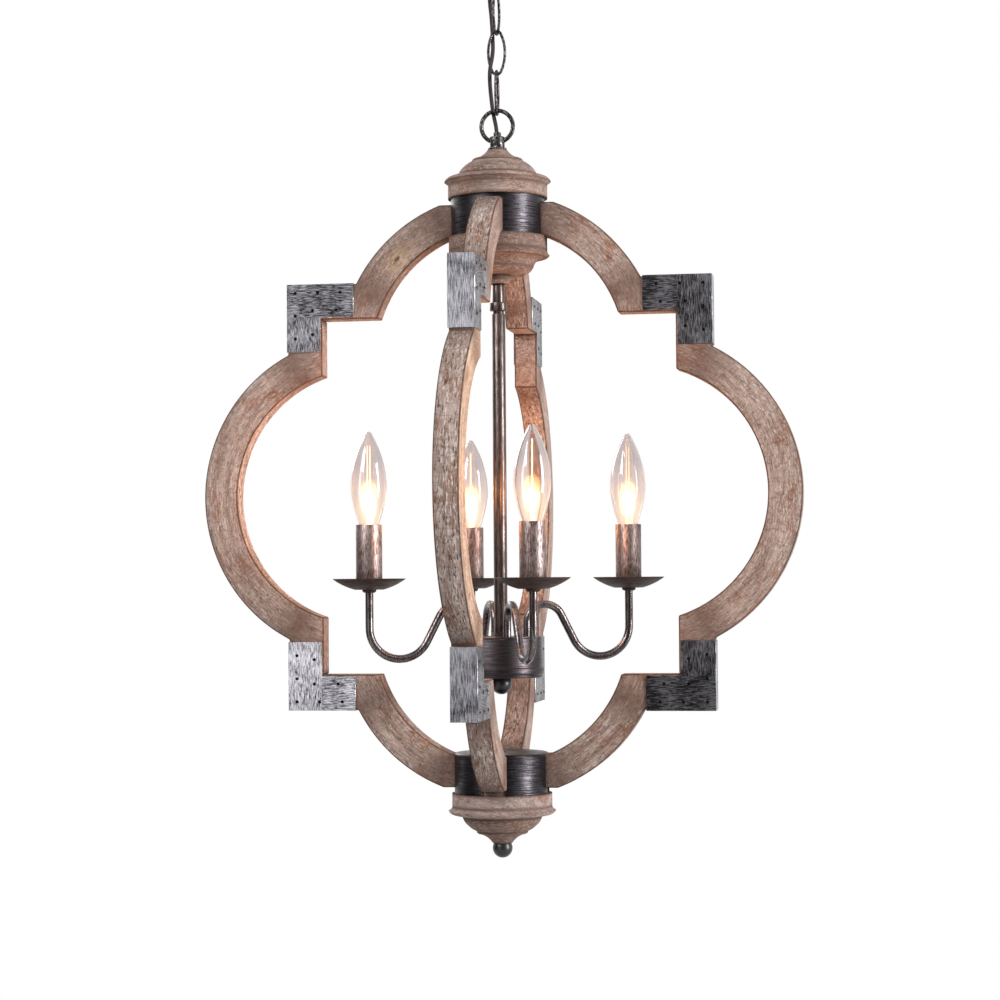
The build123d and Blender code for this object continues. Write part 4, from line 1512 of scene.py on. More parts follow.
    def build(self) -> None:
        """Copy the patterns round the four wings, above and below."""
        place = Matrix.Translation((0.0, 0.0, self.middle))
        side = self.side_arc()
        upper = self.upper_arc()
        side_end = self.angle_at((self.lobe_offset, 0.0), (self.corner_reach, self.outer - self.limb_length))
        neck_rise = math.sqrt(self.inner_radius ** 2 - self.neck_radius ** 2)
        upper_ends = tuple(self.angle_at((0.0, self.lobe_offset), end) for end in (
            (self.outer - self.limb_length, self.corner_reach),
            (self.neck_radius, self.lobe_offset + neck_rise)))
        bracket = self.bracket()
        corners = {"upper": [], "lower": []}
        for number, (quarter, angle) in enumerate(QUARTERS.items()):
            turn = place @ quarter_turn(angle)
            arc = twin(side, f"{quarter}_side_wood", Matrix.Identity(4))
            figure = self.figure_step * number
            self.grain_of(arc, (self.lobe_offset, 0.0), (side_end, -side_end), figure)
            # Only the front side arc gets the paler broad faces: painted light.
            if quarter == "front":
                self.paint_lit_sides(arc)
            arc.data.transform(turn)
            settle(arc, SAWN, "lantern", f"{quarter}_side_arc", edges=(ARRIS, LIT_TAN_SIDE))
            for level, flip, apart in (("upper", Matrix.Identity(4), 1.0), ("lower", FLIP, 2.0)):
                arc = twin(upper, f"{quarter}_{level}_wood", Matrix.Identity(4))
                self.grain_of(arc, (0.0, self.lobe_offset), upper_ends, figure + apart)
                moved = twin(arc, f"{quarter}_{level}_wood_piece", turn @ flip)
                removed(arc)
                settle(moved, SAWN, "lantern", f"{quarter}_{level}_arc", edges=(ARRIS, LIT_TAN_SIDE))
                sheet = twin(bracket, f"{quarter}_{level}_sheet", turn @ flip)
                rubbing_and_light = RUBBINGS_AND_LIGHT.get((quarter, level), RubbingAndLight())
                self.scour_and_light(sheet, bracket, rubbing_and_light, self.streak_step * number)
                corners[level].append(sheet)
        for level, sheets in corners.items():
            for sheet in sheets:
                settle(sheet, SHEET_LEVEL, "lantern", f"{level}_brackets",
                       edges=(SHEET_UPRIGHT, BARE_EDGE, SHEET_STRIP))
        removed(side, upper, bracket)
        self.drive_nails(place)

    def drive_nails(self, place: Matrix) -> None:
        """Copy the nail head to every bracket face and join the heads.

        Args:
            place: Move to the wings' middle.
        """
        head = self.nail()
        face = self.thickness / 2 + self.bracket_gap + self.bracket_sheet
        heads = []
        for angle in QUARTERS.values():
            for along, across in self.nail_places():
                spot = Matrix.Translation(Vector((self.outer - along, 0.0, self.outer - across)) * MM)
                for flip in (Matrix.Identity(4), FLIP):
                    for lean in (90.0, -90.0):
                        out = Matrix.Rotation(math.radians(lean), 4, "X") @ lift(face)
                        seat = place @ quarter_turn(angle) @ flip @ spot @ out
                        heads.append(twin(head, "nail_head", seat))
        removed(head)
        settle(joined("bracket_nail_heads", heads), NAIL_RIM, "lantern", "bracket_nails", edges=(NAIL_HEAD,))


@dataclass
class Ends:
    """Turned caps, drums, neck and collar at the two ends of the wings."""

    middle: float
    tongue_top: float = 255.72
    tongue_height: float = 29.2
    rim_rise: float = 5.1
    slot_width: float = 22.2
    slot_clearance: float = 0.6
    drum_wall: float = 1.2
    top_drum_radius: float = 41.3
    bottom_drum_radius: float = 41.7
    bottom_drum_crown: float = 3.0
    spigot_radius: float = 39.8
    bore: float = 4.6
    skirt: Flat = (43.8, 11.5)
    lip: Flat = (47.0, 3.7)
    ledge: Flat = (41.5, 3.7)
    step: Flat = (35.0, 1.6)
    shoulder: Flat = (30.0, 7.8)
    bead: Flat = (22.6, 4.9)
    cone: Flat = (20.2, 2.4)
    crown: Flat = (8.6, 8.1)
    cap_bows: tuple[float, ...] = (0.7, -1.0, 0.5, -0.8, -0.5, -0.8, 1.3)
    neck_top: Flat = (43.4, 12.0)
    neck_lip: Flat = (45.4, 4.2)
    neck_ledge: Flat = (42.0, 1.8)
    neck_waist: Flat = (31.0, 8.6)
    neck_foot: Flat = (23.2, 6.4)
    neck_bows: tuple[float, ...] = (-0.5, 0.5, -2.6, 1.0)
    collar_radius: float = 10.6
    collar_height: float = 7.7
    finial_radius: float = 8.7
    finial_sink: float = 4.3
    crisp: float = 10.0
    cap_stained: tuple[int, ...] = (0, 3, 5, 6, 7)
    neck_stained: tuple[int, ...] = (0, 2, 3)
    slot_bar: float = 120.0
    slot_slack: float = 1.0
    figure_start: float = 20.0

    @property
    def cap_rows(self) -> tuple[Flat, ...]:
        """Radius and rise of each stretch of a cap's outline, from its rim to its crown."""
        return (self.skirt, self.lip, self.ledge, self.step, self.shoulder, self.bead, self.cone, self.crown)

    @property
    def neck_rows(self) -> tuple[Flat, ...]:
        """Radius and drop of each stretch of the neck's outline, from the drum down."""
        return (self.neck_top, self.neck_lip, self.neck_ledge, self.neck_waist, self.neck_foot)

    @property
    def rim(self) -> float:
        """Level where a cap meets its drum."""
        return self.tongue_top + self.rim_rise

    @property
    def drum_low(self) -> float:
        """Level of the top drum's lower edge."""
        return self.tongue_top - self.tongue_height

    def creases(self, start: float, way: float, rows: tuple[Flat, ...],
                chosen: tuple[int, ...]) -> list[Flat]:
        """Find the corners of a turned outline where stain gathers.

        Args:
            start: Level where the outline begins.
            way: 1 for an outline that climbs, -1 for one that goes down.
            rows: Radius and rise of each stretch.
            chosen: Numbers of the stretches that end in such a corner.
        Returns:
            Radius and level of each corner.
        """
        corners = [(rows[0][0], start)]
        level = start
        for number, (radius, rise) in enumerate(rows):
            level += way * rise
            if number in chosen:
                corners.append((radius, level))
        return corners

    def cap(self) -> Piece:
        """Turn one end cap, standing on the plane where it meets its drum.

        Returns:
            The cap.
        """
        cap = Workpiece("end_cap", (self.bore, 0.0, -self.rim_rise))
        cap.walk((self.spigot_radius, 0.0, -self.rim_rise), (self.spigot_radius, 0.0, 0.0))
        cap.walk((self.skirt[0], 0.0, 0.0))
        cap.climb((self.skirt[0], 0.0, self.skirt[1]), 8)
        height = self.skirt[1]
        for (radius, rise), sagitta in zip(self.cap_rows[1:], self.cap_bows):
            height += rise
            cap.bow((radius, 0.0, height), sagitta)
        cap.walk((self.bore, 0.0, height), (self.bore, 0.0, -self.rim_rise))
        return cap.lathe(128).done(sharp=self.crisp)

    def shaded_bowl(self, cap: Piece) -> Piece:
        """Give the part of a cap beyond its ledge the darker wood, as its second finish: painted shade of the
        underside.

        Args:
            cap: Cap as it was turned.
        Returns:
            The same cap.
        """
        TURNED_PALE.coat(cap, TURNED_WARM_AND_SHADE)
        start = (self.skirt[1] + self.lip[1] + self.ledge[1]) * MM
        for face in cap.data.polygons:
            if face.center.z > start:
                face.material_index = 1
        return cap

    def neck(self) -> Piece:
        """Turn the neck under the top drum, at its level.

        Returns:
            The neck.
        """
        level = self.drum_low
        neck = Workpiece("neck", (self.bore, 0.0, level))
        neck.walk((self.neck_top[0], 0.0, level))
        level -= self.neck_top[1]
        neck.climb((self.neck_top[0], 0.0, level), 8)
        for (radius, drop), sagitta in zip(self.neck_rows[1:], self.neck_bows):
            level -= drop
            neck.bow((radius, 0.0, level), sagitta)
        neck.walk((self.bore, 0.0, level), (self.bore, 0.0, self.drum_low))
        return neck.lathe(128).done(sharp=self.crisp)

    def collar(self, level: float) -> Piece:
        """Turn the small wooden collar between neck and stem.

        Args:
            level: Level of its top.
        Returns:
            The collar.
        """
        low = level - self.collar_height
        return turned("stem_collar_wood", [
            (self.bore, level), (self.collar_radius, level), (self.collar_radius, low), (self.bore, low),
            (self.bore, level)], 64, 0.8, 3)

    def slotted(self, drum: Piece, low: float, high: float) -> Piece:
        """Cut the four upright slots for the tongues through a drum's wall.

        Args:
            drum: Drum to cut.
            low: Foot of the slots.
            high: Head of the slots.
        Returns:
            The same drum.
        """
        cutters = []
        for angle in (0.0, 90.0):
            bpy.ops.object.select_all(action="DESELECT")
            bpy.ops.mesh.primitive_cube_add(size=MM)
            bar = bpy.context.object
            bpy.ops.transform.resize(value=(self.slot_bar, self.slot_width, high - low))
            bpy.ops.object.transform_apply(location=True, rotation=True, scale=True)
            bar.data.transform(quarter_turn(angle) @ lift((low + high) / 2))
            apply_modifier(drum, "BOOLEAN", object=bar, operation="DIFFERENCE", solver="EXACT")
            cutters.append(bar)
        removed(*cutters)
        DRUM.coat(drum, BARE_EDGE)
        return eased(drum, 0.2, 1, edge_slot=1)

    def top_drum(self) -> Piece:
        """Turn the open band between cap and neck and slot it from below.

        Returns:
            The drum.
        """
        inner = self.top_drum_radius - self.drum_wall
        band = turned("top_drum_sheet", [
            (inner, self.drum_low), (self.top_drum_radius, self.drum_low), (self.top_drum_radius, self.rim),
            (inner, self.rim), (inner, self.drum_low)], 128)
        return self.slotted(band, self.drum_low - self.slot_slack, self.tongue_top + self.slot_clearance)

    def bottom_drum(self) -> Piece:
        """Turn the cup with its rounded top and slot it from below.

        Returns:
            The drum.
        """
        top = -self.drum_low + self.drum_wall
        crown, wall, radius = self.bottom_drum_crown, self.drum_wall, self.bottom_drum_radius
        soft = crown * (1 - math.sqrt(0.5))
        inner_crown = crown - wall
        inner_soft = inner_crown * (1 - math.sqrt(0.5))
        cup = Workpiece("bottom_drum_sheet", (self.bore, 0.0, top))
        cup.walk((radius - crown, 0.0, top))
        cup.bow((radius, 0.0, top - crown), soft)
        cup.walk((radius, 0.0, -self.rim), (radius - wall, 0.0, -self.rim))
        cup.walk((radius - wall, 0.0, top - crown))
        cup.bow((radius - crown, 0.0, top - wall), -inner_soft)
        cup.walk((self.bore, 0.0, top - wall), (self.bore, 0.0, top))
        band = cup.lathe(128).done()
        return self.slotted(band, -self.rim - self.slot_slack, -self.drum_low)

    def ball(self, name: str, radius: float, sink: float) -> Piece:
        """Turn a ball cut flat where it meets its seat, the seat at the origin.

        Args:
            name: Name of the piece.
            radius: Radius of the ball.
            sink: Distance of its centre below the seat.
        Returns:
            The ball.
        """
        flat = math.sqrt(radius ** 2 - sink ** 2)
        ball = Workpiece(name, (0.0, 0.0, -sink - radius))
        ball.swing((0.0, 0.0, -sink), 90.0 + math.degrees(math.atan2(sink, flat)), 28)
        ball.walk((0.0, 0.0, 0.0))
        return ball.lathe(64).done(0.2, 2)

    def build(self) -> None:
        """Turn the wooden pieces and the drums and set them at their levels."""
        place = Matrix.Translation((0.0, 0.0, self.middle))
        collar_level = self.drum_low - sum(drop for _, drop in self.neck_rows)
        cap_creases = self.creases(0.0, 1.0, self.cap_rows, self.cap_stained)
        neck_creases = self.creases(self.drum_low, -1.0, self.neck_rows[:-1], self.neck_stained)
        wooden = (
            ("top_cap", self.cap(), (TURNED,), cap_creases, lift(self.rim)),
            ("bottom_cap", self.shaded_bowl(self.cap()), (TURNED_PALE, TURNED_WARM_AND_SHADE), cap_creases,
             FLIP @ lift(self.rim)),
            ("top_neck", self.neck(), (TURNED_WARM_AND_SHADE,), neck_creases, lift(0.0)),
            ("stem_collar", self.collar(collar_level), (TURNED_WARM_AND_SHADE,), [(self.collar_radius, collar_level)],
             lift(0.0)),
        )
        for number, (node, pattern, finishes, creases, shift) in enumerate(wooden):
            mark_turned_grain(pattern, self.figure_start + number, creases)
            piece = twin(pattern, f"{node}_wood", place @ shift)
            removed(pattern)
            settle(piece, finishes[0], "lantern", node, edges=finishes[1:])
        for drum, node in ((self.top_drum(), "top_drum"), (self.bottom_drum(), "bottom_drum")):
            drum.data.transform(place)
            settle(drum, DRUM, "lantern", node, edges=(BARE_EDGE,))
        height = sum(rise for _, rise in self.cap_rows)
        finial = self.ball("bottom_ball", self.finial_radius, self.finial_sink)
        finial.data.transform(place @ lift(-self.rim - height))
        settle(finial, BLACK_BALL, "lantern", "bottom_finial")


@dataclass
class StemAndHub:
    """Metal stem down the middle and the hub that carries the arms."""

    middle: float
    ends: Ends
    tube_level: float = 185.8
    tube_radius: float = 5.3
    coupling_level: float = 169.0
    coupling_radius: float = 7.7
    coupling_height: float = 7.1
    waist_radius: float = 4.8
    waist_height: float = 2.7
    rod_radius: float = 5.9
    hub_top: float = -124.4
    hub_height: float = 35.6
    hub_top_radius: float = 36.0
    hub_foot_radius: float = 36.8
    hub_ring_radius: float = 37.9
    hub_ring_height: float = 5.6
    hub_foot_height: float = 8.7
    hub_wall: float = 1.4
    lid_thickness: float = 1.5
    ball_radius: float = 9.4
    ball_sink: float = 5.6
    waist_seat: float = 2.0
    rod_seat: float = 6.0

    def stem(self) -> list[tuple[Piece, str]]:
        """Turn tube, coupling and rod at their levels.

        Returns:
            Each piece with its node.
        """
        rod_top = self.coupling_level - self.coupling_height - self.waist_height
        low = self.coupling_level - self.coupling_height
        waist_end = rod_top - self.waist_seat
        rod_end = self.hub_top - self.lid_thickness - self.rod_seat
        rows = {
            "stem_tube": [(0.0, self.tube_level), (self.tube_radius, self.tube_level),
                          (self.tube_radius, self.coupling_level), (0.0, self.coupling_level)],
            "stem_coupling": [(0.0, self.coupling_level), (self.coupling_radius, self.coupling_level),
                              (self.coupling_radius, low), (self.waist_radius, low),
                              (self.waist_radius, waist_end), (0.0, waist_end)],
            "stem_rod": [(0.0, rod_top), (self.rod_radius, rod_top),
                         (self.rod_radius, rod_end), (0.0, rod_end)],
        }
        return [(turned(f"{node}_metal", outline, 48, 0.5), node) for node, outline in rows.items()]

    def cup(self) -> Piece:
        """Turn the hub's cup with the raised band round its foot.

        Returns:
            The cup.
        """
        rim = self.hub_top - self.lid_thickness
        bottom = self.hub_top - self.hub_height
        foot = bottom + self.hub_foot_height
        ring = foot - self.hub_ring_height
        floor = bottom + self.hub_wall
        return turned("hub_cup_sheet", [
            (0.0, bottom), (self.hub_foot_radius, bottom), (self.hub_foot_radius, ring),
            (self.hub_ring_radius, ring), (self.hub_ring_radius, foot), (self.hub_foot_radius, foot),
            (self.hub_top_radius, rim), (self.hub_top_radius - self.hub_wall, rim),
            (self.hub_foot_radius - self.hub_wall, floor), (0.0, floor)], 112, 0.6, 3)

    def lid(self) -> Piece:
        """Turn the lid that closes the hub.

        Returns:
            The lid.
        """
        low = self.hub_top - self.lid_thickness
        return turned("hub_lid_sheet", [
            (0.0, low), (self.hub_top_radius, low), (self.hub_top_radius, self.hub_top),
            (0.0, self.hub_top)], 112, 0.5)

    def build(self) -> None:
        """Set the stem and the hub at their levels."""
        place = Matrix.Translation((0.0, 0.0, self.middle))
        for piece, node in self.stem():
            piece.data.transform(place)
            settle(piece, STEM, "lantern", node)
        for piece, node in ((self.cup(), "hub_cup"), (self.lid(), "hub_lid")):
            piece.data.transform(place)
            settle(piece, HUB_SHEET, "lantern", node)
        ball = self.ends.ball("hub_ball", self.ball_radius, self.ball_sink)
        ball.data.transform(place @ lift(self.hub_top - self.hub_height))
        settle(ball, BLACK_BALL, "lantern", "hub_finial")


@dataclass
class Lamps:
    """Four arms with their pans, sleeves and candle bulbs."""

    middle: float
    arm_turn: float = 22.5
    arm_reach: float = 117.0
    arm_radius: float = 3.5
    riser_reach: float = 23.5
    arch_radius: float = 16.5
    arch_level: float = -113.0
    sag_level: float = -116.0
    arm_lean: float = 27.15
    arm_foot: float = -133.9
    pan_rim: float = -73.3
    pan_radius: float = 31.6
    pan_depth: float = 9.2
    pan_sheet: float = 1.0
    pan_belly: float = 1.0
    pan_seat: float = 12.4
    collar_radius: float = 6.1
    collar_neck: float = 4.7
    collar_height: float = 2.6
    collar_flange: float = 1.3
    sleeve_radius: float = 11.4
    sleeve_wall: float = 0.8
    sleeve_top: float = -26.2
    bulb_radius: float = 15.8
    bulb_waist: float = 4.0
    bulb_tip: float = 54.8
    tip_radius: float = 3.2
    tip_height: float = 2.6
    taper_bow: float = -3.4
    neck_radius: float = 7.8
    neck_level: float = -28.0
    swell_bow: float = -1.2
    glass: float = 0.7
    cap_radius: float = 5.9
    cap_length: float = 16.0
    cap_shoulder: float = 4.0
    neck_band: float = 1.0
    contact_radius: float = 2.5
    contact_length: float = 4.0
    thread_pitch: float = 3.2
    thread_depth: float = 0.6
    mount_radius: float = 2.6
    mount_tip: float = 1.2
    mount_height: float = 22.0
    coil_radius: float = 1.6
    coil_low: float = -22.0
    coil_high: float = 2.0
    glow_radius: float = 12.3
    glow_low: float = -30.0
    glow_high: float = 18.0
    wire_radius: float = 0.4
    wire_high: float = 42.0
    wire_gap: float = 2.4
    wire_root: float = 4.0
    point_length: float = 1.0
    coil_bow: float = 1.6
    glow_swell: float = 0.3
    light_level: float = 4.0
    light_size: float = 8.0
    light_power: float = 0.33
    light_colour: str = "#ffa044"

    @property
    def pan_floor(self) -> float:
        """Level of a pan's underside."""
        return self.pan_rim - self.pan_depth

    def arm(self) -> Piece:
        """Bend one arm along +X: up from the hub, over an arch, through a sag and up to the candle.

        Returns:
            The arm.
        """
        lean = math.radians(self.arm_lean)
        room = self.arm_reach - self.riser_reach - self.arch_radius
        slope = room * math.cos(lean) + (self.sag_level - self.arch_level) * math.sin(lean)
        sag_radius = (slope - self.arch_radius) / (1 + math.cos(lean))
        arch = Vector((self.riser_reach + self.arch_radius, 0.0, self.arch_level))
        sag = Vector((self.arm_reach - sag_radius, 0.0, self.sag_level))
        out = Vector((math.cos(lean), 0.0, math.sin(lean)))
        run = (sag - out * sag_radius) - (arch + out * self.arch_radius)
        tube = wire_ring(28, self.arm_radius, (self.riser_reach, 0.0, self.arm_foot))
        rise = (self.arch_level - self.arm_foot) * MM
        extrude((0.0, 0.0, rise))
        bpy.ops.mesh.spin(steps=24, angle=lean - math.pi, center=arch * MM, axis=(0, 1, 0))
        extrude(run * MM)
        bpy.ops.mesh.spin(steps=24, angle=math.pi - lean, center=sag * MM, axis=(0, 1, 0))
        head = (self.pan_floor + self.pan_sheet - self.sag_level) * MM
        extrude((0.0, 0.0, head))
        face_out()
        bpy.ops.object.mode_set(mode="OBJECT")
        return eased(tube, 0.0)

    def pan(self) -> Piece:
        """Turn one shallow dish with a thin rim.

        Returns:
            The pan.
        """
        floor = self.pan_floor
        inner = floor + self.pan_sheet
        pan = Workpiece("pan", (self.arm_radius, 0.0, floor))
        pan.walk((self.pan_seat, 0.0, floor))
        pan.bow((self.pan_radius, 0.0, self.pan_rim), -self.pan_belly, 14)
        pan.walk((self.pan_radius, 0.0, self.pan_rim + self.pan_sheet / 2))
        pan.bow((self.pan_seat, 0.0, inner), self.pan_belly, 14)
        pan.walk((self.arm_radius, 0.0, inner), (self.arm_radius, 0.0, floor))
        return pan.lathe(80).done(0.18, 1)

    def collar(self) -> Piece:
        """Turn the small cup-shaped collar under a pan.

        Returns:
            The collar.
        """
        floor = self.pan_floor
        low = floor - self.collar_height
        return turned("collar", [
            (self.arm_radius, low), (self.collar_neck, low), (self.collar_radius, floor - self.collar_flange),
            (self.collar_radius, floor), (self.arm_radius, floor), (self.arm_radius, low)], 40, 0.3)

    def sleeve(self) -> Piece:
        """Turn one metal candle sleeve, open at its top.

        Returns:
            The sleeve.
        """
        low = self.pan_floor + self.pan_sheet
        inner = self.sleeve_radius - self.sleeve_wall
        return turned("sleeve", [
            (inner, low), (self.sleeve_radius, low), (self.sleeve_radius, self.sleeve_top),
            (inner, self.sleeve_top), (inner, low)], 64, 0.25)

    def envelope(self) -> Piece:
        """Turn the clear torpedo of the bulb with its inner and outer wall.

        Returns:
            The glass.
        """
        def outline(bulb: Workpiece, inset: float, down: bool) -> None:
            """Draw one wall of the glass.

            Args:
                bulb: Workpiece that takes the wall.
                inset: Distance inside the outer wall.
                down: Whether it runs down to the neck.
            """
            shoulder_radius = self.tip_radius - inset
            shoulder = (shoulder_radius, 0.0, self.bulb_tip - inset - self.tip_height)
            tip = (0.0, 0.0, self.bulb_tip - inset)
            waist = (self.bulb_radius - inset, 0.0, self.bulb_waist)
            neck = (self.neck_radius - inset, 0.0, self.neck_level)
            chord = math.hypot(shoulder_radius, self.tip_height)
            ball = chord ** 2 / (2 * self.tip_height)
            nose = ball - math.sqrt(ball ** 2 - chord ** 2 / 4)
            if down:
                bulb.bow(shoulder, nose, 8).bow(waist, -self.taper_bow, 28).bow(neck, -self.swell_bow, 20)
            else:
                bulb.bow(waist, self.swell_bow, 20).bow(shoulder, self.taper_bow, 28).bow(tip, -nose, 8)
        bulb = Workpiece("glass", (self.neck_radius, 0.0, self.neck_level))
        outline(bulb, 0.0, False)
        bulb.walk((0.0, 0.0, self.bulb_tip - self.glass))
        outline(bulb, self.glass, True)
        bulb.walk((self.neck_radius, 0.0, self.neck_level))
        return bulb.lathe(72).done()

    def screw_cap(self) -> Piece:
        """Turn the brass screw cap with its rolled thread and contact.

        Returns:
            The screw cap.
        """
        shoulder = self.neck_level - self.cap_shoulder
        end = shoulder - self.cap_length
        cap = Workpiece("cap", (0.0, 0.0, end - self.contact_length))
        root = self.cap_radius - self.thread_depth
        cap.walk((self.contact_radius, 0.0, end - self.contact_length), (root, 0.0, end))
        for turn in range(int(self.cap_length / self.thread_pitch)):
            level = end + turn * self.thread_pitch
            cap.bow((root, 0.0, level + self.thread_pitch), -self.thread_depth, 6)
        cap.walk((self.cap_radius, 0.0, shoulder), (self.neck_radius, 0.0, self.neck_level - self.neck_band))
        cap.walk((self.neck_radius, 0.0, self.neck_level), (0.0, 0.0, self.neck_level))
        return cap.lathe(48).done()

    def mount(self) -> Piece:
        """Turn the glass mount that carries the filament.

        Returns:
            The mount.
        """
        top = self.neck_level + self.mount_height
        return turned("mount", [
            (0.0, self.neck_level), (self.mount_radius, self.neck_level),
            (self.mount_tip, top - self.point_length), (0.0, top)], 24)

    def rods(self) -> Piece:
        """Model the two upright rods above the mount.

        Returns:
            Both rods as one object.
        """
        low = self.neck_level + self.mount_height - self.wire_root
        parts = []
        for side in (-1.0, 1.0):
            strand = turned("rod", [
                (0.0, low), (self.wire_radius, low), (self.wire_radius, self.wire_high),
                (0.0, self.wire_high + self.point_length)], 10)
            strand.data.transform(Matrix.Translation((side * self.wire_gap / 2 * MM, 0.0, 0.0)))
            parts.append(strand)
        return joined("rods", parts)

    def filament(self) -> Piece:
        """Turn the glowing coil round the mount.

        Returns:
            The coil.
        """
        middle = (self.coil_low + self.coil_high) / 2
        coil = Workpiece("filament", (0.0, 0.0, self.coil_low))
        coil.bow((self.coil_radius, 0.0, middle), -self.coil_bow, 10)
        coil.bow((0.0, 0.0, self.coil_high), -self.coil_bow, 10)
        return coil.lathe(32).done()

    def glow(self) -> Piece:
        """Turn the spindle of light around the wire, clear of the glass.

        Returns:
            The spindle.
        """
        middle = (self.glow_low + self.glow_high) / 2
        swell = self.glow_swell * self.glow_radius
        glow = Workpiece("glow", (0.0, 0.0, self.glow_low))
        glow.bow((self.glow_radius, 0.0, middle), -swell, 12).bow((0.0, 0.0, self.glow_high), -swell, 12)
        return glow.lathe(40).done()

    def lamp_light(self, name: str, place: Matrix) -> None:
        """Put a small warm lamp inside a bulb.

        Args:
            name: Start of the lamp's name.
            place: Move to the bulb.
        """
        lamp = bpy.data.lights.new(f"{name}_light", "POINT")
        lamp.energy = self.light_power
        lamp.color = linear(self.light_colour)[:3]
        lamp.shadow_soft_size = self.light_size * MM
        holder = bpy.data.objects.new(f"{name}_light", lamp)
        holder.location = (place @ Vector((0.0, 0.0, self.light_level * MM, 1.0)))[:3]
        holder.visible_camera = False
        holder.visible_transmission = False
        bpy.context.scene.collection.objects.link(holder)

    def build(self) -> None:
        """Copy arm, pan, collar, sleeve and bulb to the four headings."""
        level = Matrix.Translation((0.0, 0.0, self.middle))
        glass_finish = BulbGlass(self.middle + self.sleeve_top * MM, self.middle + self.bulb_tip * MM)
        arm = self.arm()
        fixed = {"drip_pans": (self.pan(), PAN_SHEET), "pan_collars": (self.collar(), PAN_SHEET),
                 "candle_sleeves": (self.sleeve(), SLEEVE)}
        loose = {"bulb_glass": ((self.envelope(), glass_finish),),
                 "bulb_base": ((self.screw_cap(), BRASS), (self.mount(), MOUNT_GLASS),
                               (self.rods(), SUPPORT_PAINTED_GLOW), (self.filament(), FILAMENT), (self.glow(), GLOW))}
        for quarter, angle in QUARTERS.items():
            heading = level @ quarter_turn(angle + self.arm_turn)
            seat = heading @ Matrix.Translation((self.arm_reach * MM, 0.0, 0.0))
            settle(twin(arm, f"{quarter}_arm_tube", heading), TUBE, "lantern", f"{quarter}_arm")
            for node, (pattern, finish) in fixed.items():
                settle(twin(pattern, f"{quarter}_{pattern.name}", seat), finish, "lantern", node)
            for kind, patterns in loose.items():
                for pattern, finish in patterns:
                    piece = twin(pattern, f"{quarter}_bulb_{pattern.name}", seat)
                    settle(piece, finish, f"{quarter}_bulb", f"{quarter}_{kind}")
                    piece.visible_shadow = pattern.name in ("cap", "mount")
            self.lamp_light(quarter, seat)
        removed(arm, *[pattern for pattern, _ in fixed.values()])
        removed(*[pattern for patterns in loose.values() for pattern, _ in patterns])
        keep(SOCKET, "lamp_sockets")


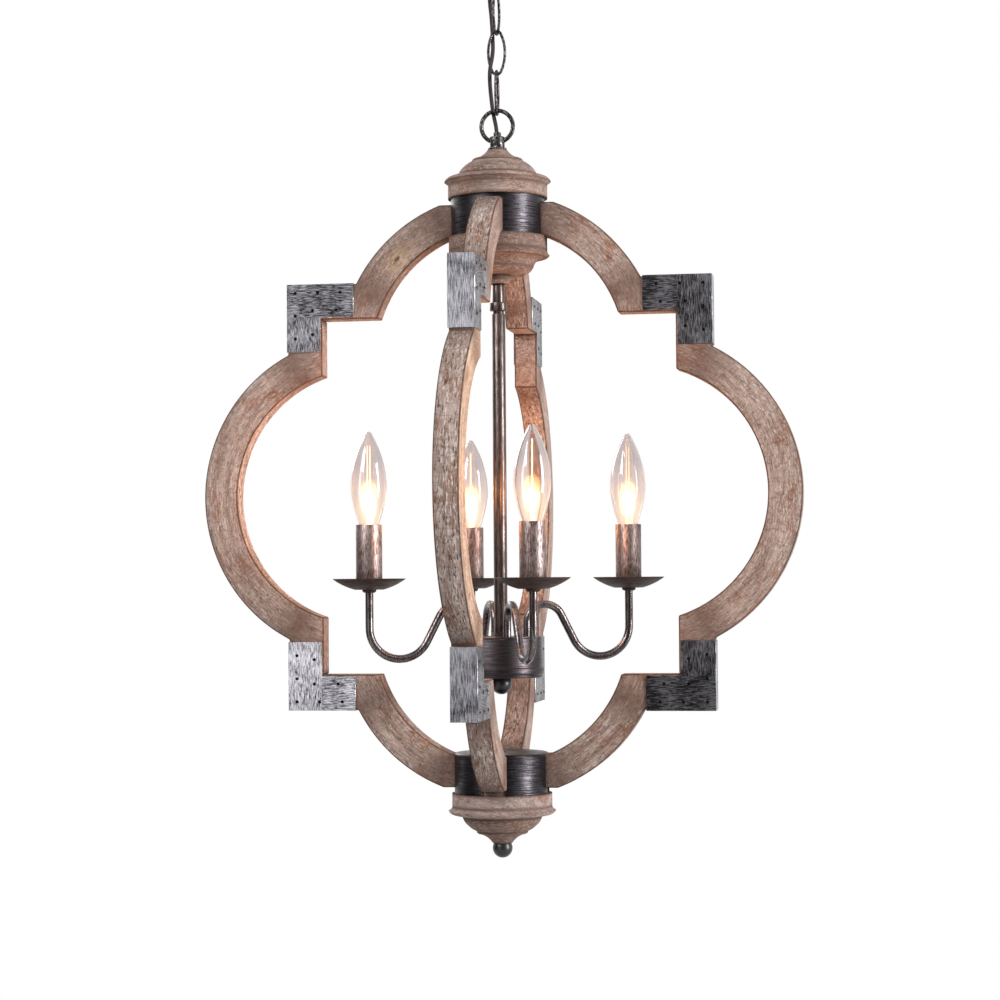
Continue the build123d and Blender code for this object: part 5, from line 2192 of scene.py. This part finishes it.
@dataclass
class Studio:
    """White studio with a pale floor, soft lamps and the camera."""

    middle: float
    azimuth: float = 9.175
    distance: float = 2142.8
    height: float = -76.2
    pitch: float = 1.913
    roll: float = -0.443
    lens: float = 87.83
    sensor: float = 36.0
    floor_level: float = -2400.0
    floor_radius: float = 1500.0
    ambient: float = 0.28
    floor_colour: str = "#f2f0ee"
    screen_colour: str = "#0c0c0c"
    screens: tuple[tuple[str, Place, Flat], ...] = (
        ("dark_screen_front", (0.9, -2.9, 0.0), (2.6, 2.4)),
        ("dark_screen_left", (-2.3, -0.7, 0.0), (2.0, 2.4)),
    )
    lamps: tuple[tuple[str, Place, Flat, float], ...] = (
        ("key_left", (-1.5, -2.0, 1.5), (1.3, 1.3), 58.0),
        ("fill_right", (2.4, -0.7, 0.3), (0.6, 1.8), 86.0),
        ("rim_back", (-1.7, 2.0, 1.0), (1.2, 1.2), 14.0),
    )

    def camera(self) -> None:
        """Stand the camera where the picture was taken from."""
        azimuth, pitch, roll = (math.radians(a) for a in (self.azimuth, self.pitch, self.roll))
        ahead = Vector((-math.sin(azimuth) * math.cos(pitch), math.cos(azimuth) * math.cos(pitch),
                        math.sin(pitch)))
        right = Vector((math.cos(azimuth), math.sin(azimuth), 0.0))
        up = right.cross(ahead)
        turned_right = right * math.cos(roll) + up * math.sin(roll)
        turned_up = up * math.cos(roll) - right * math.sin(roll)
        data = bpy.data.cameras.new("camera")
        data.lens = self.lens
        data.sensor_width = self.sensor
        camera = bpy.data.objects.new("camera", data)
        bpy.context.scene.collection.objects.link(camera)
        spot = Vector((math.sin(azimuth), -math.cos(azimuth), 0.0)) * self.distance * MM
        spot.z = self.middle + self.height * MM
        frame = Matrix((turned_right, turned_up, -ahead)).transposed().to_4x4()
        camera.matrix_world = Matrix.Translation(spot) @ frame
        bpy.context.scene.camera = camera

    def floor(self) -> None:
        """Lay the pale floor well below the lantern."""
        bpy.ops.object.select_all(action="DESELECT")
        bpy.ops.mesh.primitive_circle_add(vertices=96, radius=self.floor_radius * MM, fill_type="NGON")
        floor = bpy.context.object
        floor.name = "floor"
        floor.data.transform(lift(self.floor_level))
        floor.data.materials.append(StudioPaint("pale_floor", "floor", self.floor_colour).material())

    def screen(self, name: str, place: Place, size: Flat, colour: str) -> None:
        """Stand a screen that shows only in the metal's gloss.

        Args:
            name: Name of the screen.
            place: Where its middle stands, in metres from the lantern's middle.
            size: Its width and height in metres.
            colour: Its matt colour.
        """
        bpy.ops.object.select_all(action="DESELECT")
        bpy.ops.mesh.primitive_grid_add(x_subdivisions=1, y_subdivisions=1, size=1.0)
        screen = bpy.context.object
        screen.name = name
        turn = Vector(place).to_track_quat("Z", "Y").to_matrix().to_4x4()
        spot = Matrix.Translation(Vector(place) + Vector((0.0, 0.0, self.middle)))
        screen.data.transform(spot @ turn @ Matrix.Diagonal((*size, 1.0, 1.0)))
        screen.data.materials.append(StudioPaint(name, "screen", colour).material())
        screen.visible_camera = False
        screen.visible_diffuse = False
        screen.visible_shadow = False
        screen.visible_transmission = False

    def lamp(self, name: str, place: Place, size: Flat, power: float) -> None:
        """Hang one soft lamp that looks at the lantern's middle.

        Args:
            name: Name of the lamp.
            place: Where it hangs, in metres from the lantern's middle.
            size: Its width and height in metres.
            power: Its power in watts.
        """
        data = bpy.data.lights.new(name, "AREA")
        data.shape = "RECTANGLE"
        data.size, data.size_y = size
        data.energy = power
        lamp = bpy.data.objects.new(name, data)
        spot = Vector(place) + Vector((0.0, 0.0, self.middle))
        lamp.location = spot
        lamp.rotation_euler = Vector(place).to_track_quat("Z", "Y").to_euler()
        lamp.visible_camera = False
        bpy.context.scene.collection.objects.link(lamp)

    def world(self) -> None:
        """Show a white room to the camera, to gloss and through glass, and a softer one as light."""
        world = bpy.data.worlds.new("white_room")
        world.use_nodes = True
        tree = world.node_tree
        tree.nodes.clear()
        path = add_node(tree, "ShaderNodeLightPath").outputs
        seen = reckon(tree, "MAXIMUM", path["Is Camera Ray"], path["Is Glossy Ray"])
        seen = reckon(tree, "MAXIMUM", seen, path["Is Transmission Ray"])
        share = shares(tree, {"light": (seen, (0.0, 1.0), (self.ambient, 1.0))})
        room = add_node(tree, "ShaderNodeBackground", {
            "Color": (1.0, 1.0, 1.0, 1.0), "Strength": share["light"]})
        add_node(tree, "ShaderNodeOutputWorld", {"Surface": room.outputs[0]})
        bpy.context.scene.world = world

    def build(self) -> None:
        """Set up room, lamps and camera."""
        self.camera()
        self.world()
        self.floor()
        for screen in self.screens:
            self.screen(*screen, self.screen_colour)
        for lamp in self.lamps:
            self.lamp(*lamp)
        bpy.context.scene.view_settings.view_transform = "Standard"


def main() -> None:
    """Load the frame and build the lantern in order."""
    logging.basicConfig(level=logging.INFO, format="%(name)s: %(message)s")
    for thing in list(bpy.data.objects):
        bpy.data.objects.remove(thing)
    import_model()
    low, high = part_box("right_side_arc")
    middle = (low.z + high.z) / 2
    Studio(middle).build()
    SupplyCord().build()
    HangingGear().build()
    Wings(middle).build()
    ends = Ends(middle)
    ends.build()
    StemAndHub(middle, ends).build()
    Lamps(middle).build()


if __name__ == "__main__":
    main()
